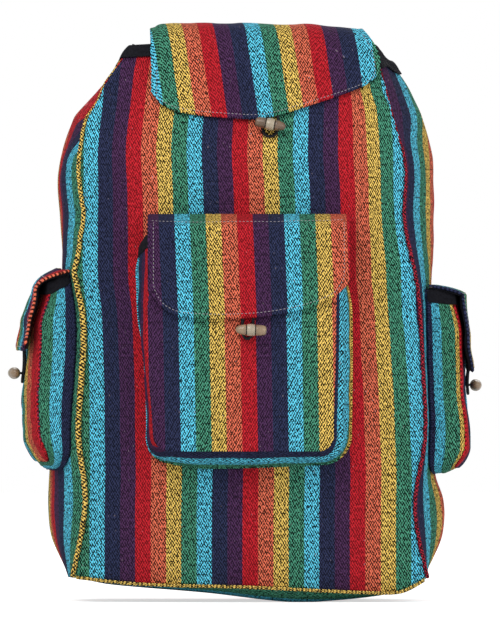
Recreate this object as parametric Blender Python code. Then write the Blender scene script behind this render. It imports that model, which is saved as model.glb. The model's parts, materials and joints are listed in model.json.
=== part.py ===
"""A woven cotton backpack: striped cloth body, top flap, three flapped pockets with
wooden toggles, and padded shoulder straps.

Metres, +Z up. The origin is the middle of the base, on the floor. The front looks to
-Y and the back lies at +Y. Every wall is a sheet of cloth: a function gives its outer
face, and each sheet of the bag is that face thickened by its own cloth.
"""

from math import cos, pi, radians, sin

import bpy
from mathutils import Matrix, Vector

# Driving sizes of the body
BODY_HALF_WIDTH = 0.146
FRONT_DEPTH = 0.080
BACK_DEPTH = 0.075
WALL_HEIGHT = 0.428
MOUTH_DROP = 0.014
FRONT_BULGE = 0.020
BACK_BULGE = 0.004
BACK_CORNER_INSET = 0.010
PLEAT_DEPTH = 0.0015
PLEATS_FRONT = 4

# Cloth, lining and the gaps between layers that are sewn together
CLOTH = 0.0018
LINING = 0.0008
LAYER_GAP = 0.0004
SEAM_GAP = 0.0003
SEWN_GAP = 0.0006

# The seam lines and the sides, as stations of (share of the wall height, distance in
# from the half width): the cloth is soft, so its seams wander
LEFT_SEAM_INSET = (
    (0.04, 0.013), (0.18, 0.023), (0.30, 0.018), (0.50, 0.021), (0.60, 0.014),
    (0.70, 0.018), (0.81, 0.017), (0.89, 0.027), (1.0, 0.054),
)
RIGHT_SEAM_INSET = (
    (0.04, 0.005), (0.17, 0.015), (0.30, 0.007), (0.43, 0.009), (0.57, 0.013),
    (0.69, 0.023), (0.79, 0.022), (0.90, 0.033), (1.0, 0.044),
)
LEFT_SIDE_INSET = (
    (0.0, 0.020), (0.05, 0.007), (0.12, -0.004), (0.22, -0.005), (0.45, 0.0),
    (0.78, 0.001), (0.87, 0.013), (0.92, 0.033), (1.0, 0.055),
)
RIGHT_SIDE_INSET = (
    (0.0, 0.021), (0.05, 0.005), (0.12, -0.008), (0.18, -0.008), (0.24, -0.001),
    (0.50, 0.0), (0.80, 0.0), (0.88, 0.009), (0.95, 0.028), (1.0, 0.042),
)
FRONT_LEAN = ((0.0, 0.010), (0.06, 0.003), (0.25, 0.0), (0.68, 0.0), (0.80, 0.004),
              (0.90, 0.018), (1.0, 0.038))
BACK_LEAN = ((0.0, 0.008), (0.05, 0.002), (0.20, 0.0), (0.85, 0.0), (1.0, 0.012))

# The line where walls and base are sewn together, as (share along the edge, height)
FRONT_EDGE_HEIGHT = ((0.0, 0.019), (0.18, 0.014), (0.50, 0.0115), (0.85, 0.007),
                     (0.93, 0.008), (1.0, 0.018))
BACK_EDGE_HEIGHT = 0.016
BASE_CURL = 0.13
BASE_CURL_LEFT = 0.45

# The black band that is folded over the mouth and holds the drawstring's channel
CASING_CLOTH = 0.0012
CASING_GAP = 0.0009
CASING_LEG = 0.006
CASING_RISE = 0.009
OUTLET_RADIUS = 0.0025
OUTLET_SPREAD = 0.024
OUTLET_MIDDLE = 0.006

# The piping along the seams
SIDE_WELT_RADIUS = (0.0022, 0.0013)
BASE_WELT_RADIUS = 0.0013
WELT_FOOT_SHARE = 0.15
WELT_HEAD_DROP = 0.004

# The top flap: its edges, its height over the mouth, and how far its hem hangs below
# the wall's top, as (share across, distance)
FLAP_CLOTH = CLOTH + LAYER_GAP + LINING
FLAP_LEFT = (-0.0757, -0.0725)
FLAP_RIGHT = (0.0905, 0.107)
FLAP_TOP = 0.4485
FLAP_ROOT_DROP = 0.030
FLAP_HEM_REST = 0.0010
FLAP_SAG_RIGHT = 0.003
FLAP_EDGE_REACH = 0.010
FLAP_HEM_DROP = (
    (0.0, 0.032), (0.04, 0.041), (0.13, 0.048), (0.40, 0.053), (0.50, 0.0525),
    (0.65, 0.045), (0.935, 0.027), (1.0, 0.018),
)
FLAP_COLUMNS = 9
FLAP_ROWS = 17

# Toggles: a turned barrel, sewn on by a tie, held by a loop of cord from a flap
TOGGLE_LENGTH = 0.0240
TOGGLE_RADIUS = 0.0046
TOGGLE_CLEARANCE = 0.0050
TOGGLE_PROFILE = (
    (0.0, 0.30), (0.03, 0.72), (0.12, 0.86), (0.34, 0.93), (0.36, 0.82), (0.38, 0.96),
    (0.50, 1.0), (0.62, 0.96), (0.64, 0.82), (0.66, 0.92), (0.86, 0.76), (0.96, 0.5),
    (1.0, 0.22),
)
TOGGLE_SIDES = 8
TIE_RADIUS = 0.0011
LOOP_RADIUS = 0.0012
LOOP_SPREAD = 0.006
LOOP_START = 0.0032
LOOP_REST = 0.0004
LOOP_BELOW = 0.007
TOP_TOGGLE_X = 0.0195
TOP_TOGGLE_DROP = 0.061
TOP_TOGGLE_TILT = radians(-11)

# Pockets: the depth of the gusset and how much wider it is where it is sewn on
FRONT_POCKET_DEPTH = 0.027
SIDE_POCKET_DEPTH = 0.021
POCKET_PILLOW = 0.005
BINDING_CLOTH = 0.0012
BINDING_WIDTH = 0.008
BINDING_GAP = 0.0008
SHELF_DROP = 0.004
POCKET_SEAT = 0.0013
FACE_BUTT = 0.0008
POCKET_COLUMNS = 6
POCKET_FLAP_ROWS = 7
POCKET_ROWS = 4

# Carrying straps on the back
STRAP_HALF_WIDTH = 0.026
STRAP_HALF_THICK = 0.005
WEBBING_HALF_WIDTH = 0.0125
WEBBING_THICK = 0.0012
YOKE_HALF_WIDTH = 0.078
YOKE_DROP = 0.036
YOKE_HEIGHT = 0.047
YOKE_TOP = WALL_HEIGHT - YOKE_DROP
YOKE_FOOT = YOKE_TOP - YOKE_HEIGHT
YOKE_SEAT = 0.0014
HAUL_LOOP_RADIUS = 0.0038
HAUL_LOOP_SPREAD = 0.011
STRAP_TOP_X = 0.046
STRAP_END_X = 0.098
STRAP_END_Z = 0.150
STRAP_END_OUT = 0.030
WEBBING_FOOT_INSET = 0.038
WEBBING_FOOT_Z = 0.030
WEBBING_SEAT = 0.0012
SLIDER_HALF_WIDTH = 0.017
SLIDER_LENGTH = 0.030
SLIDER_THICK = 0.003
SLIDER_SLOT = 0.0125
SLIDER_BAR = 0.003
SLIDER_DROP = 0.024
SLIDER_GAP = 0.0006
SLIDER_TURN = 0.0032

# How finely each sheet is divided
WALL_ROWS = 10
FRONT_COLUMNS = 14
SIDE_STATIONS = (0.0, 0.1, 0.3, 0.5, 0.7, 0.9, 1.0)

# Colours of the woven stripes, in the order in which they lie on the front
RED = (0.50, 0.015, 0.025)
ORANGE = (0.52, 0.11, 0.06)
YELLOW = (0.55, 0.36, 0.08)
GREEN = (0.05, 0.19, 0.125)
CYAN = (0.07, 0.40, 0.56)
NAVY = (0.026, 0.032, 0.085)
PURPLE = (0.065, 0.026, 0.080)
STRIPES = (RED, ORANGE, YELLOW, GREEN, CYAN, NAVY, PURPLE)
STRIPE_WIDTH = 0.012
BLACK_CLOTH = (0.012, 0.012, 0.017)
WOOD = (0.21, 0.13, 0.08)
BONE = (0.42, 0.30, 0.18)
PLASTIC = (0.015, 0.015, 0.016)


def clear_scene():
    for thing in list(bpy.data.objects):
        bpy.data.objects.remove(thing, do_unlink=True)


def plain_material(name, colour, roughness, metallic=0.0):
    material = bpy.data.materials.new(name)
    material.use_nodes = True
    shader = material.node_tree.nodes["Principled BSDF"]
    shader.inputs["Base Color"].default_value = (*colour, 1.0)
    shader.inputs["Roughness"].default_value = roughness
    shader.inputs["Metallic"].default_value = metallic
    return material


def striped_material(name, first, axis="X", turned=False):
    """Cloth whose seven stripes repeat along one axis of the object, from `first` on."""
    material = plain_material(name, STRIPES[first], 0.9)
    nodes = material.node_tree.nodes
    links = material.node_tree.links
    place = nodes.new("ShaderNodeTexCoord")
    parts = nodes.new("ShaderNodeSeparateXYZ")
    repeat = nodes.new("ShaderNodeMath")
    repeat.operation = "FRACT"
    scale = nodes.new("ShaderNodeMath")
    scale.operation = "MULTIPLY_ADD"
    sign = -1.0 if turned else 1.0
    scale.inputs[1].default_value = sign / (STRIPE_WIDTH * len(STRIPES))
    scale.inputs[2].default_value = 100.0 + first / len(STRIPES)
    ramp = nodes.new("ShaderNodeValToRGB")
    ramp.color_ramp.interpolation = "CONSTANT"
    steps = ramp.color_ramp.elements
    steps[0].color = (*STRIPES[0], 1.0)
    steps.remove(steps[1])
    for index, colour in enumerate(STRIPES[1:], start=1):
        steps.new(index / len(STRIPES)).color = (*colour, 1.0)
    links.new(place.outputs["Object"], parts.inputs["Vector"])
    links.new(parts.outputs[axis], scale.inputs[0])
    links.new(scale.outputs[0], repeat.inputs[0])
    links.new(repeat.outputs[0], ramp.inputs["Fac"])
    links.new(ramp.outputs["Color"], nodes["Principled BSDF"].inputs["Base Color"])
    return material


def add_object(name, mesh, material, smooth_angle=radians(50)):
    thing = bpy.data.objects.new(name, mesh)
    bpy.context.scene.collection.objects.link(thing)
    mesh.materials.append(material)
    mesh.shade_smooth()
    mesh.set_sharp_from_angle(angle=smooth_angle)
    return thing


def mix(a, b, share):
    return a + (b - a) * share


def ease(share):
    share = min(max(share, 0.0), 1.0)
    return share * share * (3.0 - 2.0 * share)


def smooth_line(stations, at):
    """The value at `at` on a smooth line through (place, value) stations."""
    if at <= stations[0][0]:
        return stations[0][1]
    if at >= stations[-1][0]:
        return stations[-1][1]
    last = len(stations) - 1
    k = max(i for i in range(last) if stations[i][0] <= at)
    (x0, y0), (x1, y1) = stations[k], stations[k + 1]
    before = stations[max(k - 1, 0)]
    after = stations[min(k + 2, last)]
    slope0 = (y1 - before[1]) / (x1 - before[0])
    slope1 = (after[1] - y0) / (after[0] - x0)
    width = x1 - x0
    t = (at - x0) / width
    rise = y0 * (1 - t) ** 2 * (1 + 2 * t) + y1 * t * t * (3 - 2 * t)
    return rise + width * (slope0 * t * (1 - t) ** 2 - slope1 * t * t * (1 - t))


def smooth_points(points, count):
    """`count` + 1 points on a smooth curve through hand-chosen points."""
    places = [0.0]
    for a, b in zip(points, points[1:]):
        places.append(places[-1] + (Vector(b) - Vector(a)).length)
    curve = []
    for k in range(count + 1):
        at = places[-1] * k / count
        axes = [smooth_line(list(zip(places, axis)), at) for axis in zip(*points)]
        curve.append(Vector(axes))
    return curve


def steps_between(first, last, count):
    return [mix(first, last, k / count) for k in range(count + 1)]


def dome(share):
    """1 in the middle of a panel and 0 at both its edges."""
    return 1.0 - abs(2.0 * share - 1.0) ** 2.4


# The body's shape


def seam_x(side, z):
    stations = LEFT_SEAM_INSET if side < 0 else RIGHT_SEAM_INSET
    return side * (BODY_HALF_WIDTH - smooth_line(stations, z / WALL_HEIGHT))


def bulge_x(side, z):
    stations = LEFT_SIDE_INSET if side < 0 else RIGHT_SIDE_INSET
    return side * (BODY_HALF_WIDTH - smooth_line(stations, z / WALL_HEIGHT))


def back_seam_x(side, z):
    return bulge_x(side, z) - side * BACK_CORNER_INSET


def front_middle_y(z):
    return -FRONT_DEPTH + smooth_line(FRONT_LEAN, z / WALL_HEIGHT)


def front_seam_y(z):
    return front_middle_y(z) + FRONT_BULGE


def back_seam_y(z):
    return BACK_DEPTH - smooth_line(BACK_LEAN, z / WALL_HEIGHT)


def pleat(share, z):
    """The gathers that the mouth draws into the front, dying out further down."""
    fade = ease((z / WALL_HEIGHT - 0.55) / 0.45)
    return PLEAT_DEPTH * fade * sin(2.0 * pi * PLEATS_FRONT * share) * dome(share)


def front_y(x, z):
    share = (x - seam_x(-1, z)) / (seam_x(1, z) - seam_x(-1, z))
    share = min(max(share, 0.0), 1.0)
    return front_seam_y(z) - FRONT_BULGE * dome(share) + pleat(share, z)


def side_x(side, y, z):
    share = (y - front_seam_y(z)) / (back_seam_y(z) - front_seam_y(z))
    share = min(max(share, 0.0), 1.0)
    edge = mix(seam_x(side, z), back_seam_x(side, z), share)
    return edge + (bulge_x(side, z) - mix(seam_x(side, z), back_seam_x(side, z), 0.5)) * dome(share)


def back_y(x, z):
    left, right = back_seam_x(-1, z), back_seam_x(1, z)
    share = min(max((x - left) / (right - left), 0.0), 1.0)
    return back_seam_y(z) + BACK_BULGE * dome(share)


def wall_top(u):
    """The top of the wall at `u`: 0 to 1 is the front from left to right, then the
    right side, the back from right to left, and the left side."""
    panel, share = divmod(u % 4.0, 1.0)
    sag = 1.0 if panel in (1, 3) else 1.0 - dome(share)
    return WALL_HEIGHT - MOUTH_DROP * sag


def wall_foot(u):
    panel, share = divmod(u % 4.0, 1.0)
    ends = (FRONT_EDGE_HEIGHT[0][1], FRONT_EDGE_HEIGHT[-1][1])
    if panel == 0:
        return smooth_line(FRONT_EDGE_HEIGHT, share)
    if panel == 1:
        return mix(ends[1], BACK_EDGE_HEIGHT, ease(share))
    if panel == 2:
        return BACK_EDGE_HEIGHT
    return mix(BACK_EDGE_HEIGHT, ends[0], ease(share))


def wall_at_height(u, z):
    panel, share = divmod(u % 4.0, 1.0)
    if panel == 0:
        x = mix(seam_x(-1, z), seam_x(1, z), share)
        return Vector((x, front_y(x, z), z))
    if panel == 2:
        x = mix(back_seam_x(1, z), back_seam_x(-1, z), share)
        return Vector((x, back_y(x, z), z))
    side = 1 if panel == 1 else -1
    along = share if side > 0 else 1.0 - share
    y = mix(front_seam_y(z), back_seam_y(z), along)
    return Vector((side_x(side, y, z), y, z))


def wall_point(u, v, offset=0.0):
    """A point of the wall: `v` runs from the foot to the top, `offset` outwards."""
    z = mix(wall_foot(u) + SEAM_GAP, wall_top(u), v)
    point = wall_at_height(u, z)
    if offset == 0.0:
        return point
    return point + wall_normal(u, z) * offset


def cell(stations, at):
    """The two neighbouring stations that hold `at`, and the share between them."""
    at = min(max(at, stations[0]), stations[-1])
    k = max(i for i in range(len(stations) - 1) if stations[i] <= at)
    return stations[k], stations[k + 1], (at - stations[k]) / (stations[k + 1] - stations[k])


def sewn_point(panel, share, z):
    """The point on the flat facets of a wall panel, for what is sewn on it."""
    stations = SIDE_STATIONS if panel % 2 else steps_between(0.0, 1.0, FRONT_COLUMNS)
    foot = wall_foot(panel + share * 0.999) + SEAM_GAP
    up = (z - foot) / (wall_top(panel + share * 0.999) - foot)
    a0, a1, across = cell(stations, share)
    v0, v1, along = cell(steps_between(0.0, 1.0, WALL_ROWS), up)
    edge = 1e-6
    a0, a1 = max(a0, edge), min(a1, 1.0 - edge)
    low = mix(wall_point(panel + a0, v0), wall_point(panel + a1, v0), across)
    high = mix(wall_point(panel + a0, v1), wall_point(panel + a1, v1), across)
    return mix(low, high, along)


def wall_normal(u, z, reach=0.01):
    """The outward direction, the mean of both panels' where two of them meet."""
    corner = round(u)
    near = corner if abs(u - corner) < reach else u
    along = wall_at_height(near + reach, z) - wall_at_height(near - reach, z)
    return Vector((along.y, -along.x, 0.0)).normalized()


def ramp(share):
    share = min(max(share, 0.0), 1.0)
    return 1.0 - (1.0 - share) ** 2


def base_point(t, s, offset=0.0, lift=0.0):
    """A point of the base: `t` from front to back, `s` from left to right."""
    def edge(u):
        z = wall_foot(u) + lift
        return wall_at_height(u, z) + wall_normal(u, z) * offset

    front, back = edge(s), edge(3.0 - s)
    left, right = edge(4.0 - t), edge(1.0 + t)
    between = mix(front, back, t) + mix(left, right, s)
    corners = mix(mix(edge(0.0), edge(1.0), s), mix(edge(3.0), edge(2.0), s), t)
    point = between - corners
    front_curl = mix(BASE_CURL_LEFT, BASE_CURL, ease(s / 0.6))
    flat = ramp(s / BASE_CURL) * ramp((1.0 - s) / BASE_CURL)
    flat *= ramp(t / front_curl) * ramp((1.0 - t) / BASE_CURL)
    point.z = point.z * (1.0 - flat) - offset * flat
    return point


# Sheets as closed solids


def sheet(name, patches, near, far, material):
    """One closed solid of cloth from patches (surface, first values, second values).

    Each surface is a function of two values and an offset. Its points at the offset
    `near` and the same points at `far` make the two faces, and wherever a patch ends in
    the open, a row of quads closes the edge between them."""
    numbers = {}
    outside = []
    inside = []
    faces = []

    def number(surface, a, b):
        point = surface(a, b, near)
        key = tuple(round(value * 1e5) for value in point)
        if key not in numbers:
            numbers[key] = len(outside)
            outside.append(point)
            inside.append(surface(a, b, far))
        return numbers[key]

    for surface, first, second in patches:
        for a0, a1 in zip(first, first[1:]):
            for b0, b1 in zip(second, second[1:]):
                faces.append([number(surface, *ab) for ab in ((a0, b0), (a1, b0), (a1, b1), (a0, b1))])
    edges = {}
    for face in faces:
        for a, b in zip(face, face[1:] + face[:1]):
            edges[(a, b)] = True
    count = len(outside)
    closed = list(faces)
    closed += [[index + count for index in face[:1] + face[:0:-1]] for face in faces]
    closed += [[b, a, a + count, b + count] for a, b in edges if (b, a) not in edges]
    mesh = bpy.data.meshes.new(name)
    mesh.from_pydata(outside + inside, [], closed)
    turn_outwards(mesh)
    return add_object(name, mesh, material)


def turn_outwards(mesh):
    """Flips the whole mesh if its faces point inwards."""
    mesh.calc_loop_triangles()
    volume = 0.0
    for triangle in mesh.loop_triangles:
        a, b, c = (mesh.vertices[index].co for index in triangle.vertices)
        volume += a.dot(b.cross(c))
    if volume < 0.0:
        mesh.flip_normals()
    mesh.validate()
    mesh.update()


def make_body():
    columns = steps_between(0.0, 1.0, FRONT_COLUMNS)
    rows = steps_between(0.0, 1.0, WALL_ROWS)
    sides = list(SIDE_STATIONS)
    gap = SEAM_GAP / 2.0
    walls = (
        ("front_panel", 0, columns, striped_material("front_cloth", 5)),
        ("right_side_panel", 1, sides, striped_material("right_cloth", 4, "Y")),
        ("back_panel", 2, columns, striped_material("back_cloth", 2)),
        ("left_side_panel", 3, [1.0 - t for t in reversed(sides)],
         striped_material("left_cloth", 4, "Y", True)),
    )
    for name, panel, stations, cloth in walls:
        width = FRONT_DEPTH + BACK_DEPTH if panel % 2 else 2.0 * BODY_HALF_WIDTH
        stations = [panel + min(max(t, gap / width), 1.0 - gap / width) for t in stations]
        sheet(name, [(wall_point, stations, rows)], 0.0, -CLOTH, cloth)
    sheet("base_panel", [(base_point, sides, columns)], 0.0, -CLOTH,
          striped_material("base_cloth", 3, "Y"))

    loop = columns[:-1] + [1.0 + t for t in sides[:-1]]
    loop += [2.0 + t for t in columns[:-1]] + [4.0 - t for t in reversed(sides)]
    near = -CLOTH - LAYER_GAP

    def lining_floor(t, s, offset):
        return base_point(t, s, offset, SEAM_GAP)

    sheet("main_lining", [(wall_point, loop, rows), (lining_floor, sides, columns)],
          near, near - LINING, plain_material("black_lining", BLACK_CLOTH, 0.9))


def rim_point(u, offset, height):
    """Beside the rim of the walls: `height` above it, in line with the wall's lean."""
    top = wall_point(u, 1.0, offset)
    below = wall_point(u, 1.0 - 1.0 / WALL_ROWS, offset)
    return top + (top - below).normalized() * height


def ring(name, loops, material):
    """A closed solid from equal cross-sections that follow each other in a circle."""
    count = len(loops[0])
    points = [point for loop in loops for point in loop]
    faces = []
    for i in range(len(loops)):
        j = (i + 1) % len(loops)
        for a in range(count):
            b = (a + 1) % count
            faces.append([i * count + a, j * count + a, j * count + b, i * count + b])
    mesh = bpy.data.meshes.new(name)
    mesh.from_pydata(points, [], faces)
    turn_outwards(mesh)
    return add_object(name, mesh, material)


def bar(name, sections, material):
    """A closed solid from equal cross-sections in a row, with both ends filled."""
    count = len(sections[0])
    points = [point for section in sections for point in section]
    faces = [list(reversed(range(count))), list(range(len(points) - count, len(points)))]
    for i in range(len(sections) - 1):
        for a in range(count):
            b = (a + 1) % count
            faces.append([i * count + a, i * count + b, (i + 1) * count + b, (i + 1) * count + a])
    mesh = bpy.data.meshes.new(name)
    mesh.from_pydata(points, [], faces)
    turn_outwards(mesh)
    return add_object(name, mesh, material)


def cord(name, points, radius, material, resolution=1):
    """A round cord along points, with filled ends."""
    curve = bpy.data.curves.new(name, "CURVE")
    curve.dimensions = "3D"
    curve.bevel_depth = radius
    curve.bevel_resolution = resolution
    curve.use_fill_caps = True
    spline = curve.splines.new("POLY")
    spline.points.add(len(points) - 1)
    for place, point in zip(spline.points, points):
        place.co = (*point, 1.0)
    curve.materials.append(material)
    thing = bpy.data.objects.new(name, curve)
    bpy.context.scene.collection.objects.link(thing)
    return thing


def make_casing():
    columns = steps_between(0.0, 1.0, FRONT_COLUMNS)
    sides = list(SIDE_STATIONS)
    loop = columns[:-1] + [1.0 + t for t in sides[:-1]]
    loop += [2.0 + t for t in columns[:-1]] + [4.0 - t for t in reversed(sides[1:])]
    outer = CASING_GAP + CASING_CLOTH
    inner = -FLAP_CLOTH - CASING_GAP
    shoulder = CASING_RISE - CASING_CLOTH
    section = (
        (outer, -CASING_LEG), (outer, shoulder), (CASING_GAP, CASING_RISE),
        (inner, CASING_RISE), (inner - CASING_CLOTH, shoulder),
        (inner - CASING_CLOTH, -CASING_LEG), (inner, -CASING_LEG), (inner, shoulder),
        (CASING_GAP, shoulder), (CASING_GAP, -CASING_LEG),
    )
    loops = [[rim_point(u, *place) for place in section] for u in loop]
    casing = ring("mouth_casing", loops, plain_material("casing_cloth", BLACK_CLOTH, 0.85))
    for side in (-1, 1):
        x = side * OUTLET_SPREAD / 2.0
        rim = wall_point(0.5, 1.0)
        bpy.ops.mesh.primitive_cylinder_add(
            vertices=8, radius=OUTLET_RADIUS, depth=4.0 * CASING_CLOTH,
            location=(rim.x + x, rim.y - outer, rim.z + OUTLET_MIDDLE), rotation=(pi / 2, 0, 0))
        cutter = bpy.context.object
        cutter.name = f"outlet_cutter_{side}"
        cutter.hide_render = True
        cutter.display_type = "WIRE"
        cut = casing.modifiers.new("outlet", "BOOLEAN")
        cut.object = cutter


def make_welts():
    rows = steps_between(0.0, 1.0, WALL_ROWS)
    for name, u, radius in (("left_front_welt", 0.0, SIDE_WELT_RADIUS[0]),
                            ("right_front_welt", 1.0, SIDE_WELT_RADIUS[1])):
        line = [wall_point(u, v, radius + SEAM_GAP) for v in rows]
        line[0] = mix(line[0], line[1], WELT_FOOT_SHARE)
        drop = CASING_LEG + WELT_HEAD_DROP
        line[-1] = line[-1] + (line[-2] - line[-1]).normalized() * drop
        cord(name, line, radius, plain_material(name + "_cloth", YELLOW, 0.85))
    lift = BASE_WELT_RADIUS + SEAM_GAP
    line = []
    for s in steps_between(0.0, 1.0, FRONT_COLUMNS):
        s = min(max(s, 0.01), 0.99)
        z = wall_foot(s)
        line.append(wall_at_height(s, z) + wall_normal(s, z, 0.005) * lift)
    cord("base_front_welt", line, BASE_WELT_RADIUS, plain_material("base_welt_cloth", YELLOW, 0.85))


def surface_normal(surface, a, b, step=0.004):
    """The direction at right angles to a surface of two values that grow across it."""
    across = surface(a + step, b) - surface(a - step, b)
    along = surface(a, b + step) - surface(a, b - step)
    return across.cross(along).normalized()


def under_flap_y(x, z):
    """The front where the flap lies on it: the stiff flap stands off the seams."""
    left = seam_x(-1, z) + FLAP_EDGE_REACH
    right = seam_x(1, z) - FLAP_EDGE_REACH
    return front_y(min(max(x, left), right), z)


def flap_line(s):
    """The points that the top flap's outer face passes, from its root on the back, over
    the mouth and down to the hem, at the share `s` across it."""
    hem_z = WALL_HEIGHT - smooth_line(FLAP_HEM_DROP, s)
    low_z = mix(WALL_HEIGHT, hem_z, 0.5)
    root_z = WALL_HEIGHT - FLAP_ROOT_DROP
    sag = FLAP_SAG_RIGHT * ease((s - 0.65) / 0.35)
    top_z = FLAP_TOP - sag
    x_top = mix(FLAP_LEFT[0], FLAP_RIGHT[0], s)
    x_low = mix(FLAP_LEFT[1], FLAP_RIGHT[1], s)
    x_front = mix(x_top, x_low, 0.65)
    layer = FLAP_CLOTH + SEWN_GAP
    back = back_y(x_top, WALL_HEIGHT)
    front = under_flap_y(x_front, WALL_HEIGHT)
    casing = CASING_GAP + CASING_CLOTH
    return (
        (x_top, back_y(x_top, root_z) + layer, root_z),
        (x_top, back + casing + layer + 0.002, mix(WALL_HEIGHT, top_z, 0.42)),
        (x_top, back - 0.008, top_z - 0.001),
        (x_top, mix(back, front, 0.5), top_z),
        (x_front, front + 0.008, top_z - 0.001),
        (x_front, front - casing - layer - 0.006, WALL_HEIGHT + 0.004 - sag),
        (x_low, under_flap_y(x_low, low_z) - layer - 0.004, low_z),
        (x_low, under_flap_y(x_low, hem_z) - layer - FLAP_HEM_REST, hem_z),
    )


def flap_surface(s, t):
    line = flap_line(min(max(s, 0.0), 1.0))
    stations = [k / (len(line) - 1) for k in range(len(line))]
    t = min(max(t, 0.0), 1.0)
    return Vector([smooth_line(list(zip(stations, axis)), t) for axis in zip(*line)])


def flap_point(s, t, offset=0.0):
    return flap_surface(s, t) - surface_normal(flap_surface, s, t, 0.01) * offset


def make_top_flap():
    columns = steps_between(0.0, 1.0, FLAP_COLUMNS)
    rows = steps_between(0.0, 1.0, FLAP_ROWS)
    sheet("top_flap", [(flap_point, columns, rows)], 0.0, -CLOTH, striped_material("flap_cloth", 2))
    near = -CLOTH - LAYER_GAP
    sheet("top_flap_lining", [(flap_point, columns, rows)], near, near - LINING,
          plain_material("flap_lining", BLACK_CLOTH, 0.9))


class Pocket:
    """A flat pocket sewn on a wall: a face, a gusset round three of its sides, a bound
    mouth, and a flap from above it. `panel` gives the wall's point beside the pocket at
    a place across and a height, and `out` is the way that the pocket stands out."""

    def __init__(self, name, panel, out, left, right, foot, mouth, depth, flare, corner,
                 flap_left, flap_right, flap_rise, flap_hem, toggle_x, toggle_drop, tilt):
        self.name = name
        self.panel = panel
        self.out = Vector(out)
        self.left = left
        self.right = right
        self.foot = foot
        self.mouth = mouth
        self.depth = depth
        self.flare = flare
        self.corner = corner
        self.flap_left = flap_left
        self.flap_right = flap_right
        self.flap_top = mouth + flap_rise
        self.flap_hem = flap_hem
        self.toggle_at = (toggle_x, self.flap_top - toggle_drop)
        self.tilt = tilt
        self.sideways = self.panel(right, mouth) - self.panel(left, mouth)
        self.sideways = (self.sideways - self.out * self.sideways.dot(self.out)).normalized()
        self.sideways.z = 0.0

    def height(self, a, z):
        """How far the face stands off the wall at a place on it."""
        across = (a - self.left) / (self.right - self.left)
        up = (z - self.foot) / (self.mouth - self.foot)
        swell = dome(min(max(across, 0.0), 1.0)) * dome(0.5 * min(max(up, 0.0), 1.0))
        return self.depth + POCKET_PILLOW * swell

    def on_face(self, a, z, offset=0.0):
        return self.panel(a, z) + self.out * (self.height(a, z) + offset)

    def face_point(self, s, v, offset=0.0):
        z = mix(self.foot, self.mouth, v)
        low = self.corner - min(max(z - self.foot, 0.0), self.corner)
        inset = self.corner - (self.corner ** 2 - low ** 2) ** 0.5
        return self.on_face(mix(self.left + inset, self.right - inset, s), z, offset)

    def heights(self):
        """The heights of the face's rows: the round corner's, then even ones above."""
        r = self.corner
        corner = [self.foot + r - r * sin(radians(turn)) for turn in (90, 60, 30)]
        return corner + steps_between(self.foot + r, self.mouth, POCKET_ROWS)

    def outline(self):
        """The gusset's places round the face: (across, height, outward direction)."""
        r = self.corner
        side_z = list(reversed(self.heights()[3:]))
        places = [(self.left, z, (-1.0, 0.0)) for z in side_z]
        for turn in (30, 60):
            c, d = cos(radians(turn)), sin(radians(turn))
            places.append((self.left + r - r * c, self.foot + r - r * d, (-c, -d)))
        for s in steps_between(0.0, 1.0, POCKET_COLUMNS):
            places.append((mix(self.left + r, self.right - r, s), self.foot, (0.0, -1.0)))
        for turn in (30, 60):
            c, d = sin(radians(turn)), cos(radians(turn))
            places.append((self.right - r + r * c, self.foot + r - r * d, (c, -d)))
        places += [(self.right, z, (1.0, 0.0)) for z in reversed(side_z)]
        return places

    def gusset_point(self, w, q, offset=0.0):
        a, z, (side, up) = self.outline()[int(w)]
        wide = self.flare + offset
        sewn = self.panel(a + side * wide, z + up * wide) + self.out * POCKET_SEAT
        edge = self.on_face(a, z, -CLOTH - FACE_BUTT)
        edge += (self.sideways * side + Vector((0.0, 0.0, up))) * offset
        return mix(sewn, edge, q)

    def rise(self, a, z):
        """How far the flap's outer face stands off the wall: flat where it is sewn on,
        then quickly out over the mouth, and down along the face."""
        over = ramp((self.flap_top - z) / (self.flap_top - self.mouth - SHELF_DROP))
        layer = SEWN_GAP + FLAP_CLOTH + FLAP_HEM_REST
        bound = BINDING_CLOTH + BINDING_GAP
        clear = bound * (1.0 - ease((self.mouth - z) / (3.0 * BINDING_WIDTH)))
        return layer + (self.height(a, z) + clear) * over

    def flap_surface(self, s, t):
        hem = self.flap_top - smooth_line(self.flap_hem, s)
        first = self.flap_top - self.mouth
        share = t * t * (1.6 - 0.6 * t)
        z = mix(self.flap_top, min(hem, self.mouth - first * 0.2), share)
        a = mix(self.flap_left, self.flap_right, s)
        return self.panel(a, z) + self.out * self.rise(a, z)

    def flap_point(self, s, t, offset=0.0):
        normal = surface_normal(self.flap_surface, s, t, 0.02)
        if normal.dot(self.out) < 0.0:
            normal = -normal
        return self.flap_surface(s, t) + normal * offset

    def mouth_line(self):
        """The outer edge of the cloth along the mouth: each point with the outward
        direction and the direction down the cloth."""
        last = len(self.outline()) - 1
        line = []

        def on_gusset(w, beside, q, outward):
            point = self.gusset_point(w, q)
            down = (self.gusset_point(beside, q) - point).normalized()
            line.append((point, outward, down))

        def on_face(s, outward):
            point = self.face_point(s, 1.0)
            down = (self.face_point(s, 0.9) - point).normalized()
            line.append((point, outward.normalized(), down))

        for q in (0.04, 0.5, 0.9):
            on_gusset(0, 1, q, -self.sideways)
        on_face(0.0, self.out - self.sideways)
        for s in steps_between(0.0, 1.0, POCKET_COLUMNS)[1:-1]:
            on_face(s, self.out)
        on_face(1.0, self.out + self.sideways)
        for q in (0.9, 0.5, 0.04):
            on_gusset(last, last - 1, q, self.sideways)
        return line

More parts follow.
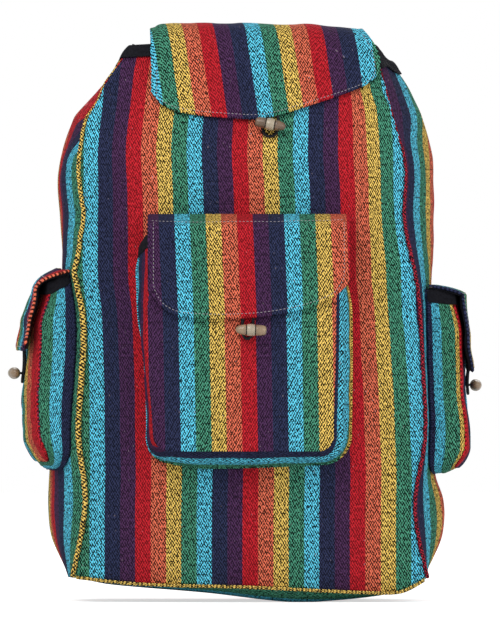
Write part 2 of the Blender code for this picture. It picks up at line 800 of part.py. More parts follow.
    def make(self, face_cloth, gusset_cloth, flap_cloth, wood):
        across = steps_between(0.0, 1.0, POCKET_COLUMNS)
        rows = [(z - self.foot) / (self.mouth - self.foot) for z in self.heights()]
        sheet(self.name + "_face", [(self.face_point, across, rows)], 0.0, -CLOTH, face_cloth)
        sheet(self.name + "_gusset", [(self.gusset_point, range(len(self.outline())), (0.0, 0.5, 1.0))],
              0.0, -CLOTH, gusset_cloth)
        self.make_binding()
        grid = (across, steps_between(0.0, 1.0, POCKET_FLAP_ROWS))
        sheet(self.name + "_flap", [(self.flap_point, *grid)], 0.0, -CLOTH, flap_cloth)
        near = -CLOTH - LAYER_GAP
        sheet(self.name + "_flap_lining", [(self.flap_point, *grid)], near, near - LINING,
              plain_material(self.name + "_lining", BLACK_CLOTH, 0.9))
        a, z = self.toggle_at
        share = (a - self.flap_left) / (self.flap_right - self.flap_left)
        hem = self.flap_top - smooth_line(self.flap_hem, share)
        make_toggle(self.name, self.on_face, a, z, hem, self.out, self.tilt, wood)

    def make_binding(self):
        over = BINDING_GAP + BINDING_CLOTH
        section = ((over, BINDING_WIDTH), (over, -over), (-CLOTH, -over), (-CLOTH, -BINDING_GAP),
                   (BINDING_GAP, -BINDING_GAP), (BINDING_GAP, BINDING_WIDTH))
        sections = []
        for point, outward, down in self.mouth_line():
            sections.append([point + outward * off + down * drop for off, drop in section])
        black = plain_material(self.name + "_binding", BLACK_CLOTH, 0.85)
        bar(self.name + "_mouth_binding", sections, black)


def turned(name, profile, length, radius, material):
    """A turned solid about its own X axis from (share of length, share of radius)."""
    rings = []
    for share, size in profile:
        x = (share - 0.5) * length
        ring_points = []
        for k in range(TOGGLE_SIDES):
            turn = 2.0 * pi * k / TOGGLE_SIDES
            ring_points.append(Vector((x, radius * size * cos(turn), radius * size * sin(turn))))
        rings.append(ring_points)
    return bar(name, rings, material)


def make_toggle(name, surface, a, z, hem, out, tilt, wood):
    """A toggle that swivels about its tie, and the loop of cord that holds it."""
    step = 0.006
    seat = surface(a, z)
    across = (surface(a + step, z) - surface(a - step, z)).normalized()
    up = (surface(a, z + step) - surface(a, z - step)).normalized()
    normal = across.cross(up).normalized()
    if normal.dot(out) < 0.0:
        normal = -normal
    along = across * cos(tilt) + up * sin(tilt)
    pivot = bpy.data.objects.new(name + "_toggle_pivot", None)
    bpy.context.scene.collection.objects.link(pivot)
    axes = Matrix((along, along.cross(normal), -normal)).transposed().to_4x4()
    pivot.matrix_world = Matrix.Translation(seat) @ axes
    barrel = turned(name + "_toggle", TOGGLE_PROFILE, TOGGLE_LENGTH, TOGGLE_RADIUS, wood)
    barrel.parent = pivot
    barrel.location = (0.0, 0.0, -TOGGLE_CLEARANCE - TOGGLE_RADIUS)
    neck = (Vector((0.0, 0.0, -SEAM_GAP)), Vector((0.0, 0.0, SEAM_GAP - TOGGLE_CLEARANCE)))
    black = plain_material(name + "_cord", BLACK_CLOTH, 0.7)
    tie = cord(name + "_toggle_tie", neck, TIE_RADIUS, black)
    tie.parent = pivot
    drop = hem - z
    rest = LOOP_REST + LOOP_RADIUS
    top = drop - LOOP_START
    route = ((-LOOP_SPREAD, top), (-LOOP_SPREAD, 0.3 * top), (-0.7 * LOOP_SPREAD, -0.7 * LOOP_BELOW),
             (0.0, -LOOP_BELOW), (0.7 * LOOP_SPREAD, -0.7 * LOOP_BELOW), (LOOP_SPREAD, 0.3 * top),
             (LOOP_SPREAD, top))
    line = [surface(a + da, z + dz) + normal * rest for da, dz in route]
    cord(name + "_loop", smooth_points(line, 11), LOOP_RADIUS, black)


def body_front(a, z):
    share = (a - seam_x(-1, z)) / (seam_x(1, z) - seam_x(-1, z))
    return sewn_point(0, share, z)


def side_share(a, z):
    return (a - front_seam_y(z)) / (back_seam_y(z) - front_seam_y(z))


def left_side(a, z):
    return sewn_point(3, 1.0 - side_share(a, z), z)


def right_side(a, z):
    return sewn_point(1, side_share(a, z), z)


FRONT_POCKET = dict(
    name="front_pocket", panel=body_front, out=(0.0, -1.0, 0.0), left=-0.0725, right=0.0725,
    foot=0.117, mouth=0.285, depth=FRONT_POCKET_DEPTH, flare=0.012, corner=0.012,
    flap_left=-0.0745, flap_right=0.0805, flap_rise=0.0155,
    flap_hem=((0.0, 0.060), (0.06, 0.071), (0.16, 0.079), (0.50, 0.080), (0.75, 0.074),
              (0.92, 0.064), (1.0, 0.053)),
    toggle_x=0.005, toggle_drop=0.0895, tilt=radians(-2))
LEFT_POCKET = dict(
    name="left_pocket", panel=left_side, out=(-1.0, 0.0, 0.0), left=-0.046, right=0.052,
    foot=0.117, mouth=0.245, depth=SIDE_POCKET_DEPTH, flare=0.010, corner=0.014,
    flap_left=-0.050, flap_right=0.056, flap_rise=0.017,
    flap_hem=((0.0, 0.052), (0.10, 0.062), (0.50, 0.070), (0.90, 0.062), (1.0, 0.052)),
    toggle_x=0.002, toggle_drop=0.085, tilt=0.0)
RIGHT_POCKET = dict(LEFT_POCKET, name="right_pocket", panel=right_side, out=(1.0, 0.0, 0.0),
                    foot=0.110, mouth=0.238, flap_rise=0.014, toggle_x=0.010, toggle_drop=0.084)


def ribbon(name, points, widths, half_width, thickness, material, edge_share=1.0):
    """A flat band along points. `widths` is its sideways direction at each point, and
    `edge_share` is how thick its edges are beside its middle."""
    sections = []
    last = len(points) - 1
    for k, point in enumerate(points):
        along = (points[min(k + 1, last)] - points[max(k - 1, 0)]).normalized()
        across = (widths[k] - along * widths[k].dot(along)).normalized()
        up = across.cross(along) * thickness / 2.0
        side = across * half_width
        thin = up * edge_share
        sections.append([point - side - thin, point - side * 0.6 - up, point + side * 0.6 - up,
                         point + side - thin, point + side + thin, point + side * 0.6 + up,
                         point - side * 0.6 + up, point - side + thin])
    return bar(name, sections, material)


def body_back(x, z, offset):
    """A point over the back panel, `offset` out from its facets."""
    left, right = back_seam_x(-1, z), back_seam_x(1, z)
    share = (right - x) / (right - left)
    return sewn_point(2, share, z) + Vector((0.0, offset, 0.0))


def make_yoke():
    def yoke_point(s, v, offset=0.0):
        x = mix(-YOKE_HALF_WIDTH, YOKE_HALF_WIDTH, s)
        return body_back(x, mix(YOKE_FOOT, YOKE_TOP, v), YOKE_SEAT + CLOTH + offset)

    columns = steps_between(0.0, 1.0, 8)
    sheet("strap_yoke", [(yoke_point, columns, (0.0, 0.5, 1.0))], 0.0, -CLOTH,
          striped_material("yoke_cloth", 3, "Z"))


def make_haul_loop():
    lift = YOKE_SEAT + CLOTH + SEWN_GAP + HAUL_LOOP_RADIUS
    spread = HAUL_LOOP_SPREAD
    foot = mix(YOKE_FOOT, YOKE_TOP, 0.45)
    route = [body_back(x, z, lift + out) for x, z, out in (
        (-spread, foot, 0.0), (-spread, YOKE_TOP - 0.006, 0.001), (-1.15 * spread, YOKE_TOP + 0.010, 0.012),
        (-0.6 * spread, YOKE_TOP + 0.022, 0.022), (0.6 * spread, YOKE_TOP + 0.022, 0.022),
        (1.15 * spread, YOKE_TOP + 0.010, 0.012), (spread, YOKE_TOP - 0.006, 0.001), (spread, foot, 0.0))]
    cord("haul_loop", smooth_points(route, 16), HAUL_LOOP_RADIUS,
         plain_material("haul_loop_cloth", PURPLE, 0.9), 2)


def make_strap(side):
    """A padded strap from the yoke, its webbing from the base, and the slider between."""
    name = "left" if side < 0 else "right"
    seat = YOKE_SEAT + CLOTH + SEWN_GAP + STRAP_HALF_THICK
    spread = STRAP_END_X - STRAP_TOP_X
    route = [body_back(side * x, z, out) for x, z, out in (
        (STRAP_TOP_X, YOKE_FOOT + 0.004, seat), (STRAP_TOP_X, YOKE_TOP - 0.008, seat + 0.002),
        (STRAP_TOP_X + 0.115 * spread, YOKE_TOP + 0.012, 0.030),
        (STRAP_TOP_X + 0.27 * spread, YOKE_TOP + 0.004, 0.056),
        (STRAP_TOP_X + 0.50 * spread, YOKE_FOOT + 0.007, 0.068),
        (STRAP_TOP_X + 0.77 * spread, mix(STRAP_END_Z, YOKE_FOOT, 0.692), 0.062),
        (STRAP_TOP_X + 0.92 * spread, mix(STRAP_END_Z, YOKE_FOOT, 0.333), 0.046),
        (STRAP_END_X, STRAP_END_Z, STRAP_END_OUT))]
    line = smooth_points(route, 14)
    flat = Vector((1.0, 0.0, 0.0))
    ribbon(name + "_shoulder_strap", line, [flat] * len(line), STRAP_HALF_WIDTH,
           2.0 * STRAP_HALF_THICK, striped_material(name + "_strap_cloth", 0), 0.35)
    end = line[-1]
    run = (line[-1] - line[-2]).normalized()
    back = flat.cross(run) if flat.cross(run).y > 0.0 else -flat.cross(run)
    black = plain_material(name + "_webbing", BLACK_CLOTH, 0.7)

    def beside(down, out):
        return end + run * down + back * out

    half = WEBBING_THICK / 2.0
    over = SLIDER_THICK / 2.0 + SLIDER_GAP + half
    under = -STRAP_HALF_THICK - SEWN_GAP - half
    slot_top = SLIDER_DROP - SLIDER_SLOT + SLIDER_BAR / 2.0
    bar_top = SLIDER_DROP - SLIDER_BAR / 2.0
    tab = (beside(-0.014, under - 0.0015), beside(0.002, under), beside(slot_top - 0.004, -over),
           beside(slot_top + 0.0005, -over), beside(slot_top + SLIDER_TURN, 0.0),
           beside(slot_top + 0.0005, over), beside(slot_top - 0.006, over))
    ribbon(name + "_strap_tab", list(tab), [flat] * len(tab), WEBBING_HALF_WIDTH, WEBBING_THICK, black)
    make_slider(name, end + run * SLIDER_DROP, flat, run, back)
    rest = WEBBING_SEAT + half
    foot_x = BODY_HALF_WIDTH - WEBBING_FOOT_INSET
    foot = body_back(side * foot_x, WEBBING_FOOT_Z, rest)
    foot_top = body_back(side * (foot_x - 0.001), WEBBING_FOOT_Z + 0.022, rest)
    below = SLIDER_DROP + SLIDER_LENGTH / 2.0 + 0.003
    tail = (beside(SLIDER_DROP + 0.050, over + 0.004), beside(below, over + 0.001),
            beside(bar_top - 0.0005, over), beside(bar_top - SLIDER_TURN, 0.0),
            beside(bar_top - 0.0005, -over), beside(below, -over),
            mix(beside(below, -over), foot_top, 0.5), foot_top, foot)
    ribbon(name + "_strap_webbing", list(tail), [flat] * len(tail),
           WEBBING_HALF_WIDTH, WEBBING_THICK, black)


def make_slider(name, middle, across, run, back):
    """A three-bar buckle, cut from a plate by two slots."""
    frame = Matrix((across, run, across.cross(run))).transposed().to_4x4()
    frame.translation = middle
    bpy.ops.mesh.primitive_cube_add(size=1.0)
    plate = bpy.context.object
    plate.name = name + "_strap_slider"
    plate.matrix_world = frame
    plate.data.transform(Matrix.Diagonal((2.0 * SLIDER_HALF_WIDTH, SLIDER_LENGTH, SLIDER_THICK, 1.0)))
    plate.data.materials.append(plain_material(name + "_slider_plastic", PLASTIC, 0.4))
    for place in (-0.5, 0.5):
        bpy.ops.mesh.primitive_cube_add(size=1.0)
        cutter = bpy.context.object
        cutter.name = f"{name}_slot_cutter_{place}"
        cutter.matrix_world = frame @ Matrix.Translation((0.0, place * SLIDER_SLOT, 0.0))
        size = (2.0 * (WEBBING_HALF_WIDTH + SLIDER_GAP), SLIDER_SLOT - SLIDER_BAR, 3.0 * SLIDER_THICK, 1.0)
        cutter.data.transform(Matrix.Diagonal(size))
        cutter.hide_render = True
        cutter.display_type = "WIRE"
        cut = plate.modifiers.new("slot", "BOOLEAN")
        cut.object = cutter


def make_pockets():
    for order, sizes in enumerate((FRONT_POCKET, LEFT_POCKET, RIGHT_POCKET)):
        name = sizes["name"]
        axis = "Y" if order else "X"
        Pocket(**sizes).make(
            striped_material(name + "_cloth", 6, axis, True),
            striped_material(name + "_gusset_cloth", 5, "Z"),
            striped_material(name + "_flap_cloth", 6, axis, True),
            plain_material(name + "_wood", BONE, 0.5))


def main():
    clear_scene()
    make_body()
    make_casing()
    make_welts()
    make_top_flap()
    hem = WALL_HEIGHT - smooth_line(FLAP_HEM_DROP, 0.52)
    make_toggle("top_flap", body_front, TOP_TOGGLE_X, WALL_HEIGHT - TOP_TOGGLE_DROP, hem,
                (0.0, -1.0, 0.0), TOP_TOGGLE_TILT, plain_material("toggle_wood", WOOD, 0.45))
    make_pockets()
    make_yoke()
    make_haul_loop()
    for side in (-1, 1):
        make_strap(side)


main()
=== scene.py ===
import json
from math import cos, pi, sin

import bpy
import numpy as np
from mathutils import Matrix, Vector


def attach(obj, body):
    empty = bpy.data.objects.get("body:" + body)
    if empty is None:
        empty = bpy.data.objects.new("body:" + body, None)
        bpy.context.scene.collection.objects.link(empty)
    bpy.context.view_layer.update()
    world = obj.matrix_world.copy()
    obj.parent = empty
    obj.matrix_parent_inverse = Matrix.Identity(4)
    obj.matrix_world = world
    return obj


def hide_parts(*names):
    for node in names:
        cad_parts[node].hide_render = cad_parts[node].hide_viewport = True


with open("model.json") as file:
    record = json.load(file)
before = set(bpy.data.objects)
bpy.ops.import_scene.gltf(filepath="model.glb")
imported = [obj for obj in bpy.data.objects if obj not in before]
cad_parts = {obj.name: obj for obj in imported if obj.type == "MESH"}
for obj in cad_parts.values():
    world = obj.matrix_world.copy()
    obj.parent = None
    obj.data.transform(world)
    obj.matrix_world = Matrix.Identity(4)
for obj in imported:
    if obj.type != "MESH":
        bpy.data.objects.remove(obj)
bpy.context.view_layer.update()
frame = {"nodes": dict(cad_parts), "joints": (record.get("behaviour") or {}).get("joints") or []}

bl_info = {
    "name": "Woven backpack",
    "version": (1, 0, 0),
    "blender": (4, 5, 0),
    "location": "View3D > Sidebar > Backpack",
    "description": "A striped cotton backpack with flapped pockets and wooden toggles",
    "category": "Object",
}

# The body: how far its seams and edges stand in, by share of the height or the width.
# The key -1 is the left side and 1 the right one.
HALF_WIDTH = 0.146
FRONT_DEPTH = 0.080
BACK_DEPTH = 0.075
WALL_HEIGHT = 0.428
MOUTH_DROP = 0.002
SIDE_MOUTH_DROP = 0.012
FRONT_BULGE = 0.020
BACK_BULGE = 0.004
BACK_CORNER_INSET = 0.010
SEAM_INSET = {
    -1: ((0.04, 0.013), (0.18, 0.023), (0.30, 0.018), (0.40, 0.0202), (0.475, 0.0222),
         (0.53, 0.0208), (0.57, 0.0170), (0.60, 0.0150), (0.63, 0.0178), (0.66, 0.0192),
         (0.70, 0.0218), (0.735, 0.0198), (0.785, 0.0178), (0.83, 0.0196), (0.875, 0.0232),
         (0.91, 0.0312), (0.94, 0.0365), (0.962, 0.0430), (1.0, 0.0540)),
    1: ((0.04, 0.005), (0.17, 0.015), (0.30, 0.007), (0.43, 0.009), (0.57, 0.013),
        (0.69, 0.023), (0.79, 0.022), (0.90, 0.033), (1.0, 0.044)),
}
SIDE_INSET = {
    -1: ((0.0, 0.020), (0.05, 0.007), (0.12, -0.004), (0.22, -0.005), (0.45, 0.001),
         (0.55, 0.0022), (0.62, 0.0031), (0.70, 0.0024), (0.78, 0.0012), (0.877, 0.0126),
         (0.902, 0.0212), (0.929, 0.0329), (0.945, 0.0405), (0.962, 0.0475), (1.0, 0.059)),
    1: ((0.0, 0.021), (0.05, 0.005), (0.12, -0.008), (0.18, -0.008), (0.24, -0.001),
        (0.50, 0.0), (0.80, 0.0), (0.88, 0.008), (0.91, 0.0135), (0.95, 0.0225), (1.0, 0.040)),
}
FRONT_LEAN = ((0.0, 0.010), (0.06, 0.003), (0.25, 0.0), (0.68, 0.0), (0.80, 0.004),
              (0.90, 0.018), (1.0, 0.038))
BACK_LEAN = ((0.0, 0.008), (0.05, 0.002), (0.20, 0.0), (0.85, 0.0), (1.0, 0.012))
FRONT_EDGE_HEIGHT = ((0.0, 0.019), (0.18, 0.014), (0.50, 0.0115), (0.85, 0.007),
                     (0.93, 0.008), (1.0, 0.018))
BACK_EDGE_HEIGHT = 0.016
BASE_CURL = 0.13
BASE_CURL_LEFT = 0.45
BOTTOM_HEIGHT = ((0.0, 0.018), (0.11, 0.0126), (0.395, 0.0063), (0.60, 0.0), (0.705, 0.0),
                 (0.908, 0.0063), (0.947, 0.0126), (1.0, 0.018))
SIDE_ROUND = {-1: 3.0, 1: 1.6}
NEAR_ONE = 0.999999
WALL_ROWS = 160
BACK_ROWS = 110
FRONT_COLUMNS = 112
SIDE_COLUMNS = 62

# The walls' soft shape: gathers under the mouth, folds, and puckers along the seams
SIDE_FOLD_DEPTH = 0.0010
BACK_FOLD_DEPTH = 0.0006
GATHER_DEPTH = 0.0015
GATHER_COUNT = 8.0
FINE_GATHER_DEPTH = 0.0007
FINE_GATHER_PITCH = 0.0105
FINE_GATHERS_FROM = 0.365
PUCKER_DEPTH = 0.00045
PUCKER_PITCH = 0.013
PUCKER_REACH = 0.012

# Cloth and the gaps between layers that are sewn together
CLOTH = 0.0018
HEM_PRESS = 0.00035
HEM_STITCH = 0.0035
LINING = 0.0008
LAYER_GAP = 0.0004
SEAM_GAP = 0.0003
SEWN_GAP = 0.0006
FLAP_CLOTH = CLOTH + LAYER_GAP + LINING

CASING_CLOTH = 0.0012
CASING_GAP = 0.0009
CASING_LEG = 0.003
CASING_LEG_RIGHT = 0.008
CASING_RISE = 0.008
CASING_GATHER_PITCH = 0.0075
CASING_GATHER_DEPTH = 0.00042

SIDE_WELT_RADIUS = {
    -1: ((0.02, 0.0018), (0.12, 0.0022), (0.22, 0.0024), (0.28, 0.0018), (0.355, 0.0015), (0.385, 0.0008)),
    1: ((0.02, 0.0014), (0.25, 0.0014), (0.33, 0.0011), (0.37, 0.0007)),
}
WELT_SINKS = {-1: 0.374, 1: 0.350}
BASE_WELT_RADIUS = 0.0013
WELT_HEAD_DROP = 0.004
WELT_TWIST = 0.3
SIDE_WELT_WRAP = 0.0120
BASE_WELT_WRAP = 0.0100

FLAP_LEFT = (-0.0757, -0.0725)
FLAP_RIGHT = (0.0905, 0.1045)
FLAP_TOP = 0.4485
FLAP_ROOT_DROP = 0.030
FLAP_HEM_REST = 0.0010
FLAP_SAG_RIGHT = 0.003
FLAP_EDGE_REACH = 0.010
FLAP_SWELL = 0.0011
FLAP_FINE_SWELL = 0.0006
FLAP_SIZE = (0.175, 0.200)
FLAP_COLUMNS = 100
FLAP_ROWS = 130
FLAP_STRIPE_PITCH = 0.01205
FLAP_STRIPE_START = -0.0232
FLAP_STRIPE_LEAN = 0.1365
FLAP_STRIPE_ROW = 84
FLAP_STITCH_MARGIN = 0.022
FLAP_STITCH_HEM = 0.985
FLAP_HEM_DROP = ((0.0, 0.032), (0.04, 0.041), (0.13, 0.048), (0.40, 0.053),
                 (0.50, 0.0525), (0.65, 0.045), (0.935, 0.027), (1.0, 0.018))

TOGGLE_LENGTH = 0.0240
TOGGLE_RADIUS = 0.0046
TOGGLE_CLEARANCE = 0.0050
TOGGLE_SIDES = 40
TIE_RADIUS = 0.00062
TIE_SPREAD = 0.0009
LOOP_RADIUS = 0.0012
LOOP_SPREAD = {"top_flap": 0.0062, "pocket": 0.0040}
LOOP_START = 0.0032
LOOP_REST = 0.0004
LOOP_BELOW = 0.007
TOP_TOGGLE = (0.0195, 0.367)

# One stitch: share of its length, size, and lift off the cloth, both in its radius
STITCH_RADIUS = 0.00028
STITCH_PROFILE = ((-0.5, 0.25, -0.6), (-0.32, 0.9, 0.25), (0.0, 1.0, 0.55), (0.32, 0.9, 0.25),
                  (0.5, 0.25, -0.6))

BINDING_CLOTH = 0.0012
BINDING_WIDTH = 0.009
BINDING_GAP = 0.0008
BINDING_TURN = 16
BINDING_ROWS = 22
POCKET_SEAT = 0.0013
POCKET_FOLD_DEPTH = 0.0012
FACE_GRID = (80, 90)
GUSSET_ROWS = 18
POCKET_FLAP_GRID = (72, 80)
OUTLINE_SIDE = 56
OUTLINE_FOOT = 60

ACROSS = np.array((1.0, 0.0, 0.0))
YOKE_HALF_WIDTH = 0.078
YOKE_TOP = 0.392
YOKE_FOOT = 0.345
YOKE_SEAT = 0.0014
HAUL_LOOP_RADIUS = 0.0038
HAUL_LOOP_SPREAD = 0.011
STRAP_HALF_WIDTH = 0.026
STRAP_HALF_THICK = 0.005
STRAP_PUCKER_DEPTH = 0.0006
STRAP_PUCKER_PITCH = 0.011
STRAP_TOP_X = 0.046
STRAP_END = (0.098, 0.150, 0.030)
WEBBING_HALF_WIDTH = 0.0125
WEBBING_THICK = 0.0012
WEBBING_SEAT = 0.0012
WEBBING_FOOT = (0.108, 0.030)
SLIDER_LENGTH = 0.030
SLIDER_THICK = 0.003
SLIDER_SLOT = 0.0125
SLIDER_BAR = 0.003
SLIDER_DROP = 0.024
SLIDER_GAP = 0.0006
SLIDER_TURN = 0.0032

# Where the red stripe starts on the front, by height, and how many stripes more than
# even ones crowd in towards each seam
RED_START = ((0.039, -0.0851), (0.070, -0.0851), (0.101, -0.0846), (0.133, -0.0851),
             (0.164, -0.0853), (0.195, -0.0863), (0.226, -0.0876), (0.250, -0.0903),
             (0.289, -0.0906), (0.320, -0.0913), (0.351, -0.0925), (0.382, -0.0897),
             (0.413, -0.0865), (0.425, -0.0838))
STRIPE_PITCH = ((0.10, 0.01188), (0.15, 0.01181), (0.195, 0.01173), (0.25, 0.01176),
                (0.351, 0.01176), (0.382, 0.0116), (0.43, 0.0114))
CROWDED_LEFT = ((0.05, 0.0), (0.29, 0.0), (0.32, 0.12), (0.351, 0.22), (0.382, 0.18), (0.43, 0.0))
CROWDED_RIGHT = ((0.08, 0.0), (0.20, 0.07), (0.226, 0.25), (0.257, 0.04), (0.289, 0.42), (0.320, 0.55),
                 (0.351, 0.42), (0.382, 0.58), (0.390, 0.85), (0.398, 1.15), (0.43, 1.3))
CROWDED_REACH = 0.042
FRONT_CLOTH_WIDTH = 0.29
SIDE_STRIPE_PITCH = 0.012
LEFT_SIDE_LEAN = ((0.33, 0.0), (0.345, 0.003), (0.355, 0.016), (0.362, 0.028), (0.370, 0.038),
                  (0.378, 0.049), (0.42, 0.052))

# On the sides, the stripes are woven narrower from this height, over this reach, by these
# shares. Behind the right seam they start with a short shift.
SIDE_CHANGE = (0.35, 0.03)
LEFT_SIDE_SPREAD = 0.3
RIGHT_SIDE_SPREAD = (0.85, 0.80)
RIGHT_SIDE_SHIFT = (0.012, 0.009)

# The front pocket's stripes: where they start high up and low down, and their pitch
FRONT_FACE_STRIPES = ((0.0070, 0.285), (0.0097, 0.142), 0.0119)
FRONT_FLAP_STRIPES = ((0.0060, 0.2966), (0.0088, 0.228), 0.0121)
LEFT_GUSSET_STRIPES = ((0.0, 5.75), (0.30, 5.0), (0.68, 4.0), (1.0, 3.05))
RIGHT_GUSSET_STRIPES = ((0.0, 5.3), (0.16, 5.0), (0.45, 4.0), (0.88, 3.0), (1.0, 2.6))

# Camera: far off, so that the sides are seen as in the photograph
CAMERA_DISTANCE = 10.0
FRAME_HEIGHT = 0.4906
FRAME_MIDDLE = (0.0039, 0.2227)

# Each lamp's place, size and power
LAMPS = {
    "key_lamp": ((-0.9, -1.7, 1.9), 1.4, 26.0),
    "fill_lamp": ((1.5, -1.6, 0.9), 1.6, 12.0),
    "back_lamp": ((0.3, 1.9, 1.4), 1.6, 16.0),
}
LAMPS_AIM = (0.0, 0.0, 0.2)
FLOOR_RADIUS = 6.0
FLOOR_CORNERS = 64
FLOOR_DROP = 0.0003
FLOOR_COLOUR = (0.86, 0.86, 0.86, 1.0)
FLOOR_GLOW = 0.60
ROOM_LIGHT = 0.55
WHITE = (1.0, 1.0, 1.0, 1.0)

# Colours that no property holds, and each stripe's share of its warp where the weft shows
STRIPE_ORDER = ("red", "orange", "yellow", "green", "cyan", "navy", "purple")
WEFT_KEEPS = (0.30, 0.08, 0.03, 0.05, 0.04, 0.25, 0.25)
SLUB_COLOUR = (0.55, 0.45, 0.50)
PIPING_DARK_YELLOW = (0.010, 0.008, 0.006)
PIPING_RED = (0.46, 0.024, 0.045)
PIPING_DARK_RED = (0.012, 0.003, 0.006)
GROOVE_COLOUR = (0.02, 0.014, 0.010)
PLASTIC_COLOUR = (0.016, 0.016, 0.018)
MATERIALS = {}


# Sums and lines


def mix(a, b, share):
    return a + (b - a) * share


def ease(share):
    share = np.clip(share, 0.0, 1.0)
    return share * share * (3.0 - 2.0 * share)


def spline(place, value, at):
    """The value at `at` on a smooth line through numbers, points or rows of points."""
    last = len(place) - 1
    order = np.arange(last + 1)
    before, after = np.maximum(order - 1, 0), np.minimum(order + 1, last)
    axes = (1,) * (value.ndim - 1)
    slope = (value[after] - value[before]) / (place[after] - place[before]).reshape(-1, *axes)
    at = np.clip(at, place[0], place[-1])
    k = np.clip(np.searchsorted(place, at, side="right") - 1, 0, last - 1)
    width = place[k + 1] - place[k]
    t = (at - place[k]) / width
    width, t = np.reshape(width, np.shape(k) + axes), np.reshape(t, np.shape(k) + axes)
    rise = value[k] * (1 - t) ** 2 * (1 + 2 * t) + value[k + 1] * t * t * (3 - 2 * t)
    return rise + width * (slope[k] * t * (1 - t) ** 2 - slope[k + 1] * t * t * (1 - t))


def line(stations, at):
    """The value at `at` on a smooth line through (place, value) stations."""
    return spline(*np.array(stations, float).T, at)


def curve(points, count):
    """`count` + 1 points on a smooth curve through given points."""
    points = np.array([tuple(p) for p in points], float)
    places = arc(points, 0)
    return spline(places, points, steps(0.0, places[-1], count))


def steps(first, last, count):
    return np.linspace(first, last, count + 1)


def unit(vectors):
    length = np.linalg.norm(vectors, axis=-1, keepdims=True)
    return vectors / np.maximum(length, 1e-12)


def point(x, y, z):
    return np.stack(np.broadcast_arrays(x, y, z), axis=-1)


def dome(share):
    """1 in the middle of a panel and 0 at both its edges."""
    return 1.0 - np.abs(2.0 * share - 1.0) ** 2.4


def stripe_width():
    return bpy.context.scene.backpack_sizes.stripe_width


def within(value, low, high):
    """How far a value has come from `low` to `high`, as a share from 0 to 1."""
    return np.clip((value - low) / (high - low), 0.0, 1.0)


def powered(values, power):
    return np.sign(values) * np.abs(values) ** power


def shaded(colour, factor):
    return tuple(factor * c for c in colour)


def ramp(share):
    return 1.0 - (1.0 - np.clip(share, 0.0, 1.0)) ** 2


def arc(points, axis):
    """The distance run along one axis of a grid of points."""
    gaps = np.linalg.norm(np.diff(points, axis=axis), axis=-1)
    start = np.zeros_like(np.take(gaps, [0], axis=axis))
    return np.concatenate([start, np.cumsum(gaps, axis=axis)], axis=axis)


def crumple(x, y, size, seed):
    """Smooth unevenness from -1 to 1, about `size` from one hill to the next."""
    draw = np.random.default_rng(seed)
    total = 0.0
    for _ in range(9):
        turn = draw.uniform(0.0, 2.0 * pi)
        wave = 2.0 * pi / (size * draw.uniform(0.7, 1.8))
        phase = draw.uniform(0.0, 2.0 * pi)
        total = total + np.sin(wave * (x * cos(turn) + y * sin(turn)) + phase)
    return np.tanh(total / 4.5)


# The body's shape


def seam_x(side, z):
    return side * (HALF_WIDTH - line(SEAM_INSET[side], z / WALL_HEIGHT))


def bulge_x(side, z):
    return side * (HALF_WIDTH - line(SIDE_INSET[side], z / WALL_HEIGHT))


def back_seam_x(side, z):
    return bulge_x(side, z) - side * BACK_CORNER_INSET


def front_seam_y(z):
    return -FRONT_DEPTH + line(FRONT_LEAN, z / WALL_HEIGHT) + FRONT_BULGE


def back_seam_y(z):
    return BACK_DEPTH - line(BACK_LEAN, z / WALL_HEIGHT)


def front_folds(x, z, share):
    """How far the soft cloth of the front stands in from its even shape."""
    depth = bpy.context.scene.backpack_sizes.fold_depth
    high = ease((z / WALL_HEIGHT - 0.55) / 0.45)
    fine = ease((z - FINE_GATHERS_FROM) / 0.05)
    wander = 0.4 * crumple(x, z, 0.03, 3)
    gathers = GATHER_DEPTH * high * np.sin(GATHER_COUNT * pi * share)
    gathers = gathers + FINE_GATHER_DEPTH * fine * np.sin(2.0 * pi * (x / FINE_GATHER_PITCH + wander))
    drape = depth * crumple(x, z / 3.0, 0.055, 11) + 0.45 * depth * crumple(x, z / 1.6, 0.026, 12)
    left = (x - seam_x(-1, z)) / PUCKER_REACH
    right = (seam_x(1, z) - x) / PUCKER_REACH
    wave = np.sin(2.0 * pi * z / PUCKER_PITCH + 2.5 * crumple(x, z, 0.05, 5))
    pucker = (np.exp(-left ** 2) + np.exp(-right ** 2)) * PUCKER_DEPTH * wave
    return (gathers + drape) * dome(share) + pucker


def front_y(x, z):
    share = within(x, seam_x(-1, z), seam_x(1, z))
    return front_seam_y(z) - FRONT_BULGE * dome(share) + front_folds(x, z, share)


def side_x(side, y, z):
    share = within(y, front_seam_y(z), back_seam_y(z))
    middle = mix(seam_x(side, z), back_seam_x(side, z), 0.5)
    edge = mix(seam_x(side, z), back_seam_x(side, z), share)
    rounded = 1.0 - np.abs(2.0 * share - 1.0) ** SIDE_ROUND[side]
    folds = crumple(y, z / 3.0, 0.05, 20 + side) + 0.5 * crumple(y, z / 1.5, 0.022, 24 + side)
    return edge + (bulge_x(side, z) - middle) * rounded + SIDE_FOLD_DEPTH * folds * dome(share)


def back_y(x, z):
    share = within(x, back_seam_x(-1, z), back_seam_x(1, z))
    folds = BACK_FOLD_DEPTH * crumple(x, z / 2.0, 0.06, 31) * dome(share)
    return back_seam_y(z) + BACK_BULGE * dome(share) + folds


def parted(u):
    u = np.mod(u, 4.0)
    panel = np.floor(u).astype(int)
    return panel, u - panel


def wall_top(u):
    panel, share = parted(u)
    sag = np.where(panel % 2 == 1, 1.0, 1.0 - dome(share))
    low = ease(np.minimum(share, 1.0 - share) / 0.35) * (panel % 2)
    return WALL_HEIGHT - MOUTH_DROP * sag - SIDE_MOUTH_DROP * low


